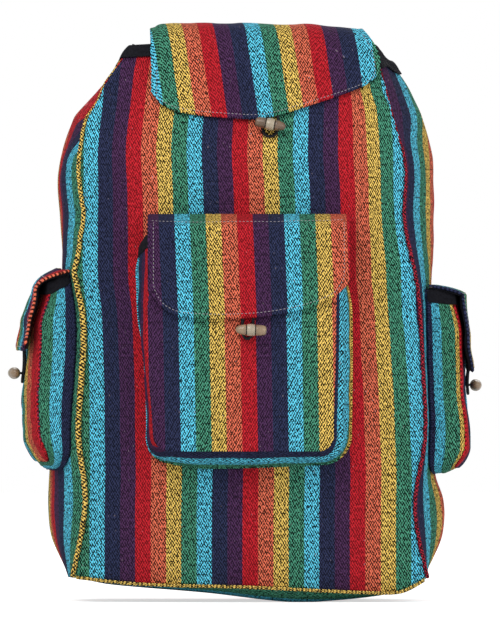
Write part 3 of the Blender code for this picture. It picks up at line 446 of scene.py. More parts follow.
def wall_foot(u):
    panel, share = parted(u)
    left, right = FRONT_EDGE_HEIGHT[0][1], FRONT_EDGE_HEIGHT[-1][1]
    return np.select(
        [panel == 0, panel == 1, panel == 2],
        [line(FRONT_EDGE_HEIGHT, share), mix(right, BACK_EDGE_HEIGHT, ease(share)),
         np.full_like(share, BACK_EDGE_HEIGHT)],
        mix(BACK_EDGE_HEIGHT, left, ease(share)))


def wall(u, z):
    """The walls' outer face: `u` from 0 to 1 is the front from left to right, then the
    right side, the back from right to left, and the left side."""
    u, z = np.broadcast_arrays(np.asarray(u, float), np.asarray(z, float))
    panel, share = parted(u)
    along = np.where(panel == 1, share, 1.0 - share)
    side_y = mix(front_seam_y(z), back_seam_y(z), along)
    front_x = mix(seam_x(-1, z), seam_x(1, z), share)
    back_x = mix(back_seam_x(1, z), back_seam_x(-1, z), share)
    front, back = panel == 0, panel == 2
    x = np.select([front, back, panel == 1],
                  [front_x, back_x, side_x(1, side_y, z)], side_x(-1, side_y, z))
    y = np.select([front, back], [front_y(front_x, z), back_y(back_x, z)], side_y)
    return point(x, y, z)


def wall_normal(u, z, reach=0.01):
    u = np.asarray(u, float)
    corner = np.round(u)
    near = np.where(np.abs(u - corner) < reach, corner, u)
    along = wall(near + reach, z) - wall(near - reach, z)
    return unit(point(along[..., 1], -along[..., 0], 0.0 * along[..., 0]))


def wall_point(u, v, offset=0.0):
    z = mix(wall_foot(u) + SEAM_GAP, wall_top(u), v)
    return wall(u, z) + wall_normal(u, z) * offset


def base_point(t, s, offset=0.0, lift=0.0):
    """A point of the base: `t` from front to back, `s` from left to right."""
    def edge(u):
        u = np.asarray(u, float)
        z = wall_foot(u) + lift
        return wall(u, z) + wall_normal(u, z) * offset

    t, s = np.broadcast_arrays(t, s)
    across, along = s[..., None], t[..., None]
    between = mix(edge(s), edge(3.0 - s), along) + mix(edge(4.0 - t), edge(1.0 + t), across)
    front = mix(edge(np.zeros_like(s)), edge(np.full_like(s, NEAR_ONE)), across)
    back = mix(edge(np.full_like(s, 2.0 + NEAR_ONE)), edge(np.full_like(s, 2.0)), across)
    place = between - mix(front, back, along)
    curl = mix(BASE_CURL_LEFT, BASE_CURL, ease(s / 0.6))
    flat = ramp(s / BASE_CURL) * ramp((1.0 - s) / BASE_CURL)
    flat = flat * ramp(t / curl) * ramp((1.0 - t) / BASE_CURL)
    place[..., 2] = place[..., 2] * (1.0 - flat) + (line(BOTTOM_HEIGHT, s) - offset) * flat
    return place


# Meshes


def add_mesh(name, places, faces, cloth, materials):
    mesh = bpy.data.meshes.new(name)
    mesh.from_pydata([tuple(p) for p in places], [], [tuple(f) for f in faces])
    if cloth is not None:
        layer = mesh.attributes.new("cloth", "FLOAT_VECTOR", "POINT")
        values = np.zeros((len(places), 3), np.float32)
        values[:, :cloth.shape[1]] = cloth
        layer.data.foreach_set("vector", values.ravel())
    for material in materials if isinstance(materials, (list, tuple)) else [materials]:
        mesh.materials.append(material)
    mesh.shade_smooth()
    mesh.validate()
    thing = bpy.data.objects.new(name, mesh)
    bpy.context.scene.collection.objects.link(thing)
    return thing


def grid_faces(index):
    quads = np.stack([index[:-1, :-1], index[:-1, 1:], index[1:, 1:], index[1:, :-1]], axis=-1)
    return quads.reshape(-1, 4)


def ring_faces(index):
    """Quads between rows of points, each row closed to a ring."""
    return grid_faces(np.concatenate([index, index[:, :1]], axis=1))


def tube_faces(index):
    """Quads between rings of points, and a flat face at both ends."""
    return [tuple(f) for f in ring_faces(index)] + [tuple(index[0]), tuple(index[-1][::-1])]


def grid_normals(points, out):
    """A grid's normals, turned to the way `out`."""
    normal = unit(np.cross(np.gradient(points, axis=1), np.gradient(points, axis=0)))
    return -normal if (normal * out).sum(-1).mean() < 0.0 else normal


def cloth_piece(name, points, across, along, thick, out, material, closed=False):
    """A sheet of cloth with two faces and rounded edges, from a grid of points.

    `out` is roughly the way that its outer face looks, and `across` and `along` are
    the cloth's own measures there. `closed` joins the last column to the first."""
    rows, columns = points.shape[:2]
    if closed:
        sideways = np.roll(points, -1, 1) - np.roll(points, 1, 1)
    else:
        sideways = np.gradient(points, axis=1)
    normal = unit(np.cross(sideways, np.gradient(points, axis=0)))
    flip = (normal * out).sum(-1).mean() < 0.0
    if flip:
        normal = -normal
    far = points - normal * thick
    index = np.arange(rows * columns).reshape(rows, columns)
    count = rows * columns
    quads = ring_faces(index) if closed else grid_faces(index)
    faces = [quads, quads[:, ::-1] + count]
    if closed:
        loops = [(index[0], index[1]), (index[-1][::-1], index[-2][::-1])]
    else:
        edge = np.concatenate([index[0, :-1], index[:-1, -1], index[-1, :0:-1], index[:0:-1, 0]])
        inner = np.clip(np.stack(np.unravel_index(edge, index.shape)), 1, None)
        inner = np.stack([np.minimum(inner[0], rows - 2), np.minimum(inner[1], columns - 2)])
        loops = [(edge, index[inner[0], inner[1]])]
    near_flat, far_flat = points.reshape(-1, 3), far.reshape(-1, 3)
    places = [near_flat, far_flat]
    measures = np.stack(np.broadcast_arrays(across, along), axis=-1).reshape(-1, 2)
    cloth = [measures, measures]
    start = 2 * count
    for edge, inner in loops:
        away = unit(near_flat[edge] - near_flat[inner])
        places.append((near_flat[edge] + far_flat[edge]) / 2.0 + away * thick * 0.42)
        cloth.append(measures[edge])
        middle = start + np.arange(len(edge))
        start += len(edge)
        after, middle_after = np.roll(edge, -1), np.roll(middle, -1)
        faces.append(np.stack([after, edge, middle, middle_after], axis=-1))
        faces.append(np.stack([middle_after, middle, edge + count, after + count], axis=-1))
    faces = np.concatenate(faces)
    if flip:
        faces = faces[:, ::-1]
    return add_mesh(name, np.concatenate(places), faces, np.concatenate(cloth), material)


def tube(name, path, radius, sides, material, across_start=0.0, twist=0.0, wraps=0.0, fine=1.0):
    """A round bar along a path. Its cloth runs round it, `wraps` once round if that is
    given, and along it."""
    path = np.array(path, float)
    count = len(path)
    radius = np.broadcast_to(radius, (count,))
    run = unit(np.gradient(path, axis=0))
    side = np.zeros_like(path)
    start = np.cross(run[0], (0.0, 0.0, 1.0) if abs(run[0][2]) < 0.9 else (0.0, 1.0, 0.0))
    side[0] = unit(start)
    for k in range(1, count):
        side[k] = unit(side[k - 1] - run[k] * side[k - 1].dot(run[k]))
    other = np.cross(run, side)
    turns = steps(0.0, 2.0 * pi, sides)[:-1]
    ring = side[:, None] * np.cos(turns)[None, :, None] + other[:, None] * np.sin(turns)[None, :, None]
    places = (path[:, None] + ring * radius[:, None, None]).reshape(-1, 3)
    along = np.repeat(arc(path, 0), sides)
    around = np.tile(turns / (2.0 * pi) * wraps if wraps else np.sin(turns) * radius.mean(), count)
    start = np.repeat(np.broadcast_to(across_start, (count,)), sides)
    cloth = np.stack([around + start + twist * along, fine * along], axis=-1)
    index = np.arange(count * sides).reshape(count, sides)
    faces = [tuple(f) for f in ring_faces(index)[:, ::-1]]
    ends = np.stack([path[0] - run[0] * radius[0] * 0.5, path[-1] + run[-1] * radius[-1] * 0.5])
    places = np.concatenate([places, ends])
    cloth = np.concatenate([cloth, cloth[[0, -1]]])
    first, last = count * sides, count * sides + 1
    for k in range(sides):
        after = (k + 1) % sides
        faces.append((first, index[0, k], index[0, after]))
        faces.append((last, index[-1, after], index[-1, k]))
    return add_mesh(name, places, faces, cloth, material)


def band(name, path, half_width, half_thick, material, corners, squareness, across_start=0.0,
         pucker=0.0):
    """A flat strip with rounded edges along a path, which it crosses along X. `half_thick`
    may change along the path, and `pucker` is the depth of the small folds at its edges."""
    run = unit(np.gradient(path, axis=0))
    side = unit(ACROSS - run * (run @ ACROSS)[:, None])
    up = np.cross(side, run)
    turns = steps(0.0, 2.0 * pi, corners)[:-1]
    wide = powered(np.cos(turns), squareness) * half_width
    high = powered(np.sin(turns), 0.8) * np.broadcast_to(half_thick, (len(path),))[:, None]
    along = arc(path, 0)
    folds = pucker * np.sin(2.0 * pi * along / STRAP_PUCKER_PITCH)[:, None] * np.abs(np.cos(turns)) ** 6
    high = high + folds * np.sign(np.sin(turns))
    places = path[:, None] + side[:, None] * wide[None, :, None] + up[:, None] * high[..., None]
    cloth = np.stack(np.broadcast_arrays(wide + across_start, along[:, None]), axis=-1).reshape(-1, 2)
    index = np.arange(along.size * corners).reshape(-1, corners)
    return add_mesh(name, places.reshape(-1, 3), tube_faces(index), cloth, material)


def stitches(name, path, out):
    """A row of stitches along a path that lies on a surface whose way out is `out`."""
    length = bpy.context.scene.backpack_sizes.stitch_length
    pitch = bpy.context.scene.backpack_sizes.stitch_pitch
    path = np.array(path, float)
    out = np.broadcast_to(out, path.shape)
    places = arc(path, 0)
    at = np.arange(pitch / 2.0, places[-1] - pitch / 2.0, pitch)

    def between(values):
        return np.stack([np.interp(at, places, axis) for axis in values.T], axis=1)

    centre, way, normal = between(path), unit(between(np.gradient(path, axis=0))), unit(between(out))
    side = np.cross(way, normal)
    rings = np.array([(share * length, cos(turn) * size * STITCH_RADIUS,
                       (sin(turn) * size + lift) * STITCH_RADIUS)
                      for share, size, lift in STITCH_PROFILE for turn in steps(0.0, 2.0 * pi, 6)[:-1]])
    corners = centre[:, None] + way[:, None] * rings[None, :, :1] + side[:, None] * rings[None, :, 1:2]
    corners = corners + normal[:, None] * rings[None, :, 2:]
    one = tube_faces(np.arange(len(rings)).reshape(len(STITCH_PROFILE), -1))
    faces = [tuple(i + k * len(rings) for i in face) for k in range(len(at)) for face in one]
    corners = corners.reshape(-1, 3)
    piece = add_mesh(name, corners, faces, np.zeros((len(corners), 2)), MATERIALS["thread"])
    worn(piece, "cord")


# Materials


def new_group(name, inputs, outputs):
    """A shader node group with named sockets. Returns it with its two end nodes."""
    group = bpy.data.node_groups.new(name, "ShaderNodeTree")
    for label, kind, value in inputs:
        socket = group.interface.new_socket(label, in_out="INPUT", socket_type=kind)
        if value is not None:
            socket.default_value = value
    for label, kind in outputs:
        group.interface.new_socket(label, in_out="OUTPUT", socket_type=kind)
    return group, group.nodes.new("NodeGroupInput"), group.nodes.new("NodeGroupOutput")


def calc(tree, operation, *values, clamp=False):
    """A Math node. Each value is a number or another node's output."""
    node = tree.nodes.new("ShaderNodeMath")
    node.operation = operation
    node.use_clamp = clamp
    for slot, value in zip(node.inputs, values):
        if isinstance(value, (int, float)):
            slot.default_value = value
        else:
            tree.links.new(value, slot)
    return node.outputs[0]


def blended(tree, factor, first, second, kind="MIX"):
    """A Mix Color node between two colours, each a tuple or another node's output."""
    node = tree.nodes.new("ShaderNodeMix")
    node.data_type = "RGBA"
    node.blend_type = kind
    for slot, value in ((0, factor), (6, first), (7, second)):
        if isinstance(value, (int, float)):
            node.inputs[slot].default_value = value
        elif isinstance(value, tuple):
            node.inputs[slot].default_value = (*value, 1.0)
        else:
            tree.links.new(value, node.inputs[slot])
    return node.outputs[2]


def noise(tree, vector, scale=1.0, detail=2.0, rough=0.5):
    node = tree.nodes.new("ShaderNodeTexNoise")
    node.inputs["Scale"].default_value = scale
    node.inputs["Detail"].default_value = detail
    node.inputs["Roughness"].default_value = rough
    tree.links.new(vector, node.inputs["Vector"])
    return node.outputs["Fac"]


def scaled(tree, vector, factors):
    node = tree.nodes.new("ShaderNodeVectorMath")
    node.operation = "MULTIPLY"
    node.inputs[1].default_value = factors
    tree.links.new(vector, node.inputs[0])
    return node.outputs["Vector"]


def stretched(tree, vector, factors, detail=1.0):
    """Noise that is finer along the axes with the larger factors."""
    return noise(tree, scaled(tree, vector, factors), detail=detail)


def weave_group():
    """Warp threads along the stripes, with the dark weft in the gaps between them."""
    inputs = (("Cloth", "NodeSocketVector", None), ("Thread Pitch", "NodeSocketFloat", 0.0010),
              ("Pick Pitch", "NodeSocketFloat", 0.0017),
              ("Weft Shown", "NodeSocketFloat", 0.5), ("Unevenness", "NodeSocketFloat", 0.5))
    outputs = (("Weft", "NodeSocketFloat"), ("Height", "NodeSocketFloat"),
               ("Shade", "NodeSocketFloat"), ("Slub", "NodeSocketFloat"))
    tree, given, made = new_group("Weave", inputs, outputs)
    split = tree.nodes.new("ShaderNodeSeparateXYZ")
    cloth = given.outputs["Cloth"]
    wobble = calc(tree, "SUBTRACT", stretched(tree, cloth, (500.0, 260.0, 1.0), 2.0), 0.5)
    tree.links.new(cloth, split.inputs[0])
    across = calc(tree, "DIVIDE", split.outputs[0], given.outputs["Thread Pitch"])
    along = calc(tree, "DIVIDE", split.outputs[1], given.outputs["Pick Pitch"])
    across = calc(tree, "MULTIPLY", calc(tree, "MULTIPLY_ADD", wobble, 1.1, across), pi)
    along = calc(tree, "MULTIPLY", calc(tree, "MULTIPLY_ADD", wobble, 0.9, along), pi)
    rising = calc(tree, "COSINE", calc(tree, "ADD", across, along))
    falling = calc(tree, "COSINE", calc(tree, "SUBTRACT", across, along))
    over = calc(tree, "ADD", calc(tree, "MULTIPLY", rising, 0.58), calc(tree, "MULTIPLY", falling, 0.42))
    threads = stretched(tree, cloth, (1600.0, 45.0, 1.0))
    picks = stretched(tree, cloth, (60.0, 1300.0, 1.0))
    cloud = noise(tree, cloth, 26.0, 3.0)
    uneven = calc(tree, "ADD", calc(tree, "SUBTRACT", threads, 0.5), calc(tree, "SUBTRACT", picks, 0.5))
    uneven = calc(tree, "MULTIPLY", uneven, given.outputs["Unevenness"])
    level = calc(tree, "SUBTRACT", calc(tree, "MULTIPLY", given.outputs["Weft Shown"], 2.0), 1.0)
    spots = stretched(tree, cloth, (420.0, 260.0, 1.0))
    specks = stretched(tree, cloth, (620.0, 400.0, 1.0))
    level = calc(tree, "ADD", level, calc(tree, "MULTIPLY", uneven, 1.1))
    level = calc(tree, "MULTIPLY_ADD", calc(tree, "SUBTRACT", specks, 0.5), 3.2, level)
    dark = calc(tree, "MULTIPLY_ADD", calc(tree, "SUBTRACT", over, level), -8.0, 0.5, clamp=True)
    tree.links.new(dark, made.inputs["Weft"])
    tree.links.new(calc(tree, "ADD", calc(tree, "MULTIPLY_ADD", over, 0.5, 0.5),
                        calc(tree, "MULTIPLY", uneven, 0.5)), made.inputs["Height"])
    shade = calc(tree, "MULTIPLY_ADD", uneven, 0.9, 1.0)
    shade = calc(tree, "MULTIPLY", shade, calc(tree, "MULTIPLY_ADD", cloud, 0.30, 0.85))
    tree.links.new(shade, made.inputs["Shade"])
    tree.links.new(calc(tree, "MULTIPLY_ADD", spots, 12.0, -8.7, clamp=True), made.inputs["Slub"])
    return tree


def fuzz_group():
    """Fine grain for cord, wood and plastic: a soft height and a shade."""
    inputs = (("Place", "NodeSocketVector", None), ("Fineness", "NodeSocketFloat", 1.0),
              ("Contrast", "NodeSocketFloat", 0.3))
    outputs = (("Height", "NodeSocketFloat"), ("Shade", "NodeSocketFloat"))
    tree, given, made = new_group("Grain", inputs, outputs)
    node = tree.nodes.new("ShaderNodeVectorMath")
    node.operation = "SCALE"
    tree.links.new(given.outputs["Place"], node.inputs[0])
    tree.links.new(given.outputs["Fineness"], node.inputs["Scale"])
    grain = noise(tree, node.outputs[0], 1.0, 4.0, 0.6)
    centred = calc(tree, "SUBTRACT", grain, 0.5)
    tree.links.new(grain, made.inputs["Height"])
    shade = calc(tree, "MULTIPLY_ADD", centred, given.outputs["Contrast"], 1.0)
    tree.links.new(shade, made.inputs["Shade"])
    return tree


def new_material(name, **inputs):
    """A material whose shader has these inputs. Returns it with its node tree."""
    material = bpy.data.materials.new(name)
    material.use_nodes = True
    shader = material.node_tree.nodes["Principled BSDF"]
    for label, value in inputs.items():
        shader.inputs[label.replace("_", " ")].default_value = value
    return material, material.node_tree


def cloth_place(tree):
    node = tree.nodes.new("ShaderNodeAttribute")
    node.attribute_type = "GEOMETRY"
    node.attribute_name = "cloth"
    return node.outputs["Vector"]


def placed(tree, group, **values):
    node = tree.nodes.new("ShaderNodeGroup")
    node.node_tree = group
    for name, value in values.items():
        slot = node.inputs[name.replace("_", " ")]
        if isinstance(value, (int, float)):
            slot.default_value = value
        else:
            tree.links.new(value, slot)
    return node.outputs


def dressed(material, colour, height, distance, strength):
    """Gives a material's shader its colour and its bump, and returns the material."""
    tree = material.node_tree
    shader = tree.nodes["Principled BSDF"]
    tree.links.new(colour, shader.inputs["Base Color"])
    node = tree.nodes.new("ShaderNodeBump")
    node.inputs["Strength"].default_value = strength
    node.inputs["Distance"].default_value = distance
    tree.links.new(height, node.inputs["Height"])
    tree.links.new(node.outputs["Normal"], shader.inputs["Normal"])
    return material


def stripe_ramp(tree, stripe, colours):
    node = tree.nodes.new("ShaderNodeValToRGB")
    node.color_ramp.interpolation = "CONSTANT"
    elements = node.color_ramp.elements
    elements[0].color = (*colours[0], 1.0)
    elements.remove(elements[1])
    for k, colour in enumerate(colours[1:], start=1):
        elements.new(k / len(colours)).color = (*colour, 1.0)
    tree.links.new(stripe, node.inputs["Fac"])
    return node.outputs["Color"]


def make_striped(groups):
    """Warp-faced cotton: coloured warp stripes over a black weft."""
    sizes = bpy.context.scene.backpack_sizes
    warp = [tuple(getattr(bpy.context.scene.backpack_colours, name)) for name in STRIPE_ORDER]
    material, tree = new_material("striped_cotton", Roughness=0.95, Specular_IOR_Level=0.12)
    place = cloth_place(tree)
    weave = placed(tree, groups["weave"], Cloth=place, Thread_Pitch=sizes.thread_pitch,
                   Pick_Pitch=sizes.pick_pitch, Weft_Shown=sizes.weft_shown, Unevenness=0.55)
    split = tree.nodes.new("ShaderNodeSeparateXYZ")
    tree.links.new(place, split.inputs[0])
    ragged = stretched(tree, place, (10.0, 1400.0, 1.0), 0.0)
    across = calc(tree, "MULTIPLY_ADD", calc(tree, "SUBTRACT", ragged, 0.5), 0.0006, split.outputs[0])
    repeat = len(STRIPE_ORDER) * sizes.stripe_width
    stripe = calc(tree, "FRACT", calc(tree, "MULTIPLY_ADD", across, 1.0 / repeat, 50.0))
    bright = stripe_ramp(tree, stripe, warp)
    dark = stripe_ramp(tree, stripe, [shaded(colour, share) for colour, share in zip(warp, WEFT_KEEPS)])
    body = blended(tree, 1.0, bright, weave["Shade"], "MULTIPLY")
    body = blended(tree, weave["Weft"], body, dark)
    body = blended(tree, calc(tree, "MULTIPLY", weave["Slub"], 0.35), body, SLUB_COLOUR)
    return dressed(material, body, weave["Height"], 0.0004, 0.6)


def make_plain_cloth(groups, name, colour, dark, pitch, weft, roughness=0.9, distance=0.0003, picks=1.5):
    """Cloth of one colour with its own weave: lining, binding, piping and webbing."""
    material, tree = new_material(name, Roughness=roughness, Specular_IOR_Level=0.15)
    weave = placed(tree, groups["weave"], Cloth=cloth_place(tree), Thread_Pitch=pitch,
                   Pick_Pitch=picks * pitch, Weft_Shown=weft, Unevenness=0.5)
    body = blended(tree, 1.0, colour, weave["Shade"], "MULTIPLY")
    body = blended(tree, weave["Weft"], body, dark)
    return dressed(material, body, weave["Height"], distance, 0.7)


def make_wood(groups, name, light, dark, shine):
    """Turned horn-like wood with grain along the barrel."""
    material, tree = new_material(name, Roughness=0.38, Specular_IOR_Level=0.5, Coat_Weight=shine,
                                  Coat_Roughness=0.25)
    place = cloth_place(tree)
    streaks = placed(tree, groups["grain"], Place=scaled(tree, place, (90.0, 900.0, 900.0)),
                     Fineness=1.0, Contrast=0.6)
    rings = stretched(tree, place, (260.0, 140.0, 140.0), 3.0)
    body = blended(tree, calc(tree, "MULTIPLY_ADD", rings, 2.2, -0.6, clamp=True), dark, light)
    body = blended(tree, 1.0, body, streaks["Shade"], "MULTIPLY")
    return dressed(material, body, streaks["Height"], 0.00012, 0.5)


def make_cord_material(groups, name, colour, roughness):
    material, tree = new_material(name, Roughness=roughness, Specular_IOR_Level=0.3)
    place = cloth_place(tree)
    split = tree.nodes.new("ShaderNodeSeparateXYZ")
    tree.links.new(place, split.inputs[0])
    strands = calc(tree, "ADD", calc(tree, "MULTIPLY", split.outputs[0], 2200.0),
                   calc(tree, "MULTIPLY", split.outputs[1], 2600.0))
    strands = calc(tree, "MULTIPLY_ADD", calc(tree, "SINE", strands), 0.5, 0.5)
    grain = placed(tree, groups["grain"], Place=place, Fineness=2500.0, Contrast=0.5)
    body = blended(tree, 1.0, colour, grain["Shade"], "MULTIPLY")
    body = blended(tree, calc(tree, "MULTIPLY", strands, 0.6), shaded(colour, 0.45), body)
    return dressed(material, body, calc(tree, "ADD", strands, grain["Height"]), 0.0003, 0.7)


def make_plastic(groups):
    material, tree = new_material("slider_plastic", Roughness=0.42, Specular_IOR_Level=0.5)
    coords = tree.nodes.new("ShaderNodeTexCoord")
    grain = placed(tree, groups["grain"], Place=coords.outputs["Object"], Fineness=2800.0, Contrast=0.35)
    body = blended(tree, 1.0, PLASTIC_COLOUR, grain["Shade"], "MULTIPLY")
    return dressed(material, body, grain["Height"], 0.00006, 0.4)


def make_materials():
    colours = bpy.context.scene.backpack_colours
    groups = {"weave": weave_group(), "grain": fuzz_group()}
    black, yellow = tuple(colours.black), tuple(colours.yellow)
    near_black = shaded(black, 0.35)
    MATERIALS["striped_cloth"] = make_striped(groups)
    for key, name, colour, dark, pitch, weft, more in (
            ("black_cloth", "black_cotton", black, near_black, 0.0006, 0.35, {}),
            ("webbing", "black_webbing", black, near_black, 0.0012, 0.4,
             {"roughness": 0.75, "distance": 0.0005}),
            ("yellow_welt", "yellow_piping", yellow, PIPING_DARK_YELLOW, 0.0020, 0.56, {"picks": 0.75}),
            ("red_welt", "red_piping", PIPING_RED, PIPING_DARK_RED, 0.0020, 0.56, {"picks": 0.75})):
        MATERIALS[key] = make_plain_cloth(groups, name, colour, dark, pitch, weft, **more)
    MATERIALS["thread"] = make_cord_material(groups, "stitch_thread", tuple(colours.thread), 0.8)
    MATERIALS["cord"] = make_cord_material(groups, "black_cord", black, 0.7)
    for key, name, colour, dark, shine in (("wood", "dark_wood", colours.wood, 0.45, 0.3),
                                           ("bone", "pale_wood", colours.bone, 0.6, 0.4),
                                           ("bead", "bead_horn", colours.bead, 0.75, 0.8)):
        MATERIALS[key] = make_wood(groups, name, tuple(colour), shaded(colour, dark), shine)
    MATERIALS["groove"] = make_cord_material(groups, "toggle_groove", GROOVE_COLOUR, 0.7)
    MATERIALS["haul"] = make_plain_cloth(groups, "haul_loop_cotton", tuple(colours.purple), near_black,
                                         0.0007, 0.4)
    MATERIALS["plastic"] = make_plastic(groups)


def worn(piece, slot, body="bag", *nodes):
    """Fixes a piece to its body and hides the solids that it stands for. `slot` is not used."""
    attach(piece, body)
    if nodes:
        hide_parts(*nodes)


def sheet(name, node, slot, points, across, along, thick, out, closed=False):
    """Makes a sheet of cloth on the bag, in the material that `slot` names, and hides the solid `node` that
    it stands for."""
    piece = cloth_piece(name, points, across, along, thick, out, MATERIALS[slot], closed)
    worn(piece, slot, "bag", node)


# The pieces


def front_stripes(x, z):
    """The cloth's measure across the front, where a multiple of seven starts red."""
    pitch = line(STRIPE_PITCH, z)
    stripe = (x - line(RED_START, z)) / pitch
    left = ease((seam_x(-1, z) + CROWDED_REACH - x) / CROWDED_REACH)
    right = ease((x - seam_x(1, z) + CROWDED_REACH) / CROWDED_REACH)
    stripe = stripe - line(CROWDED_LEFT, z) * left + line(CROWDED_RIGHT, z) * right
    return stripe * stripe_width()


def side_stripes(side, y, z):
    """The cloth's measure across a side, where the upper part of the left one leans."""
    back = y - front_seam_y(z)
    start, reach = SIDE_CHANGE
    high = ease((z - start) / reach)
    if side < 0:
        return 3.0 * stripe_width() + back * mix(1.0, LEFT_SIDE_SPREAD, high) + line(LEFT_SIDE_LEAN, z)
    shift, fade = RIGHT_SIDE_SHIFT
    spread_low, spread_high = RIGHT_SIDE_SPREAD
    low = spread_low * back + shift * (1.0 - np.exp(-back / fade))
    return -mix(low, spread_high * back, high)


def make_walls():
    width = stripe_width()
    gap = SEAM_GAP / 2.0 / FRONT_CLOTH_WIDTH
    rows = steps(0.0, 1.0, WALL_ROWS)[:, None]
    u = steps(gap, 1.0 - gap, FRONT_COLUMNS)[None, :]
    points = wall_point(u, rows)
    x, z = points[..., 0], points[..., 2]
    sheet("front_cloth", "front_panel", "striped_cloth", points, front_stripes(x, z), z, CLOTH,
          (0.0, -1.0, 0.0))
    points = wall_point(2.0 + u, steps(0.0, 1.0, BACK_ROWS)[:, None])
    sheet("back_cloth", "back_panel", "striped_cloth", points, points[..., 0] + 2.5 * width,
          points[..., 2], CLOTH, (0.0, 1.0, 0.0))
    for side, name, start in ((1, "right", 1.0), (-1, "left", 3.0)):
        u = steps(start + 2.0 * gap, start + 1.0 - 2.0 * gap, SIDE_COLUMNS)[None, :]
        points = wall_point(u, rows)
        y, z = points[..., 1], points[..., 2]
        sheet(name + "_side_cloth", name + "_side_panel", "striped_cloth", points, side_stripes(side, y, z),
              z, CLOTH, (side, 0.0, 0.0))
    points = base_point(steps(0.0, 1.0, 70)[:, None], steps(0.0, 1.0, 120)[None, :])
    sheet("base_cloth", "base_panel", "striped_cloth", points, 3.0 * width + arc(points, 0), points[..., 0],
          CLOTH, (0.0, 0.0, -1.0))


def make_lining():
    """One black bag inside: its wall goes all round, and its floor joins on."""
    near = -CLOTH - LAYER_GAP
    u = np.concatenate([steps(k, k + 1.0, count)[:-1] for k, count in enumerate((70, 36, 70, 36))])
    points = wall_point(u[None, :], steps(0.0, 1.0, 50)[:, None], near)
    sheet("lining_wall", "main_lining", "black_cloth", points, arc(points, 1), points[..., 2], LINING,
          points * (1.0, 1.0, 0.0), closed=True)
    points = base_point(steps(0.0, 1.0, 40)[:, None], steps(0.0, 1.0, 70)[None, :], near, 2.0 * SEAM_GAP)
    sheet("lining_floor", "main_lining", "black_cloth", points, points[..., 0], points[..., 1], LINING,
          (0.0, 0.0, -1.0))


def rim_point(u, offset, height):
    if height < 0.0:
        deep = height * (1.0 + CASING_LEG_RIGHT / CASING_LEG * np.exp(-((u - 1.0) / 0.13) ** 2))
        return wall(u, wall_top(u) + deep) + wall_normal(u, wall_top(u) + deep) * offset
    top = wall_point(u, 1.0, offset)
    below = wall_point(u, 0.9, offset)
    return top + unit(top - below) * height


def make_mouth_band():
    """The black band folded over the rim, gathered by the drawstring in it."""
    outer = CASING_GAP + CASING_CLOTH
    inner = -FLAP_CLOTH - CASING_GAP
    shoulder = CASING_RISE - CASING_CLOTH
    section = ((outer, -CASING_LEG), (outer + 0.0002, 0.0), (outer, 0.6 * shoulder),
               (outer - 0.0006, shoulder), (0.3 * outer, CASING_RISE - 0.0001), (-0.001, CASING_RISE),
               (inner + 0.001, CASING_RISE - 0.0001), (inner - 0.3 * CASING_CLOTH, shoulder),
               (inner - CASING_CLOTH, 0.5 * shoulder), (inner - CASING_CLOTH, -CASING_LEG))
    section = curve(section, 34)
    u = steps(0.0, 4.0, 560)[:-1]
    points = np.stack([rim_point(u, offset, height) for offset, height in section])
    around = arc(points[[0]], 1)[0]
    gathers = np.sin(2.0 * pi * around / CASING_GATHER_PITCH + 2.0 * crumple(around, 0.0, 0.05, 41))
    gathers = gathers + 0.5 * crumple(around, 0.0, 0.012, 43)
    level = within(section[:, 1], -CASING_LEG, CASING_RISE)
    share = (np.sin(pi * level) * CASING_GATHER_DEPTH)[:, None, None]
    points = points + wall_normal(u, wall_top(u))[None] * gathers[None, :, None] * share
    sheet("mouth_band", "mouth_casing", "black_cloth", points, around, arc(points, 0), 0.0009,
          points - points.mean(axis=(0, 1)),
          closed=True)


def make_welts():
    v = steps(0.0, 1.0, 220)
    for side, u, name, material in ((-1, 0.0, "left", "yellow_welt"), (1, 1.0, "right", "red_welt")):
        z = mix(wall_foot(u), wall_top(u), v)
        radius = line(SIDE_WELT_RADIUS[side], z)
        sunk = ease((z - WELT_SINKS[side]) / 0.012)
        place = np.full_like(v, u)
        lift = mix(radius * 0.8, -radius * 1.3, sunk) + SEAM_GAP
        path = wall_point(place, v) + wall_normal(place, z) * lift[:, None]
        path[0] = mix(path[0], path[1], 0.15)
        keep = arc(path, 0) < arc(path, 0)[-1] - CASING_LEG - WELT_HEAD_DROP
        piece = tube(name + "_front_piping", path[keep], radius[keep], 16, MATERIALS[material],
                     twist=WELT_TWIST, wraps=SIDE_WELT_WRAP)
        worn(piece, "piping", "bag", name + "_front_welt")
    s = steps(0.01, 0.99, 160)
    z = wall_foot(s)
    path = wall(s, z) + wall_normal(s, z, 0.005) * (BASE_WELT_RADIUS + SEAM_GAP)
    piece = tube("base_front_piping", path, BASE_WELT_RADIUS, 14, MATERIALS["yellow_welt"],
                 twist=WELT_TWIST, wraps=BASE_WELT_WRAP)
    worn(piece, "piping", "bag", "base_front_welt")


def under_flap_y(x, z):
    left = seam_x(-1, z) + FLAP_EDGE_REACH
    right = seam_x(1, z) - FLAP_EDGE_REACH
    return front_y(np.clip(x, left, right), z)


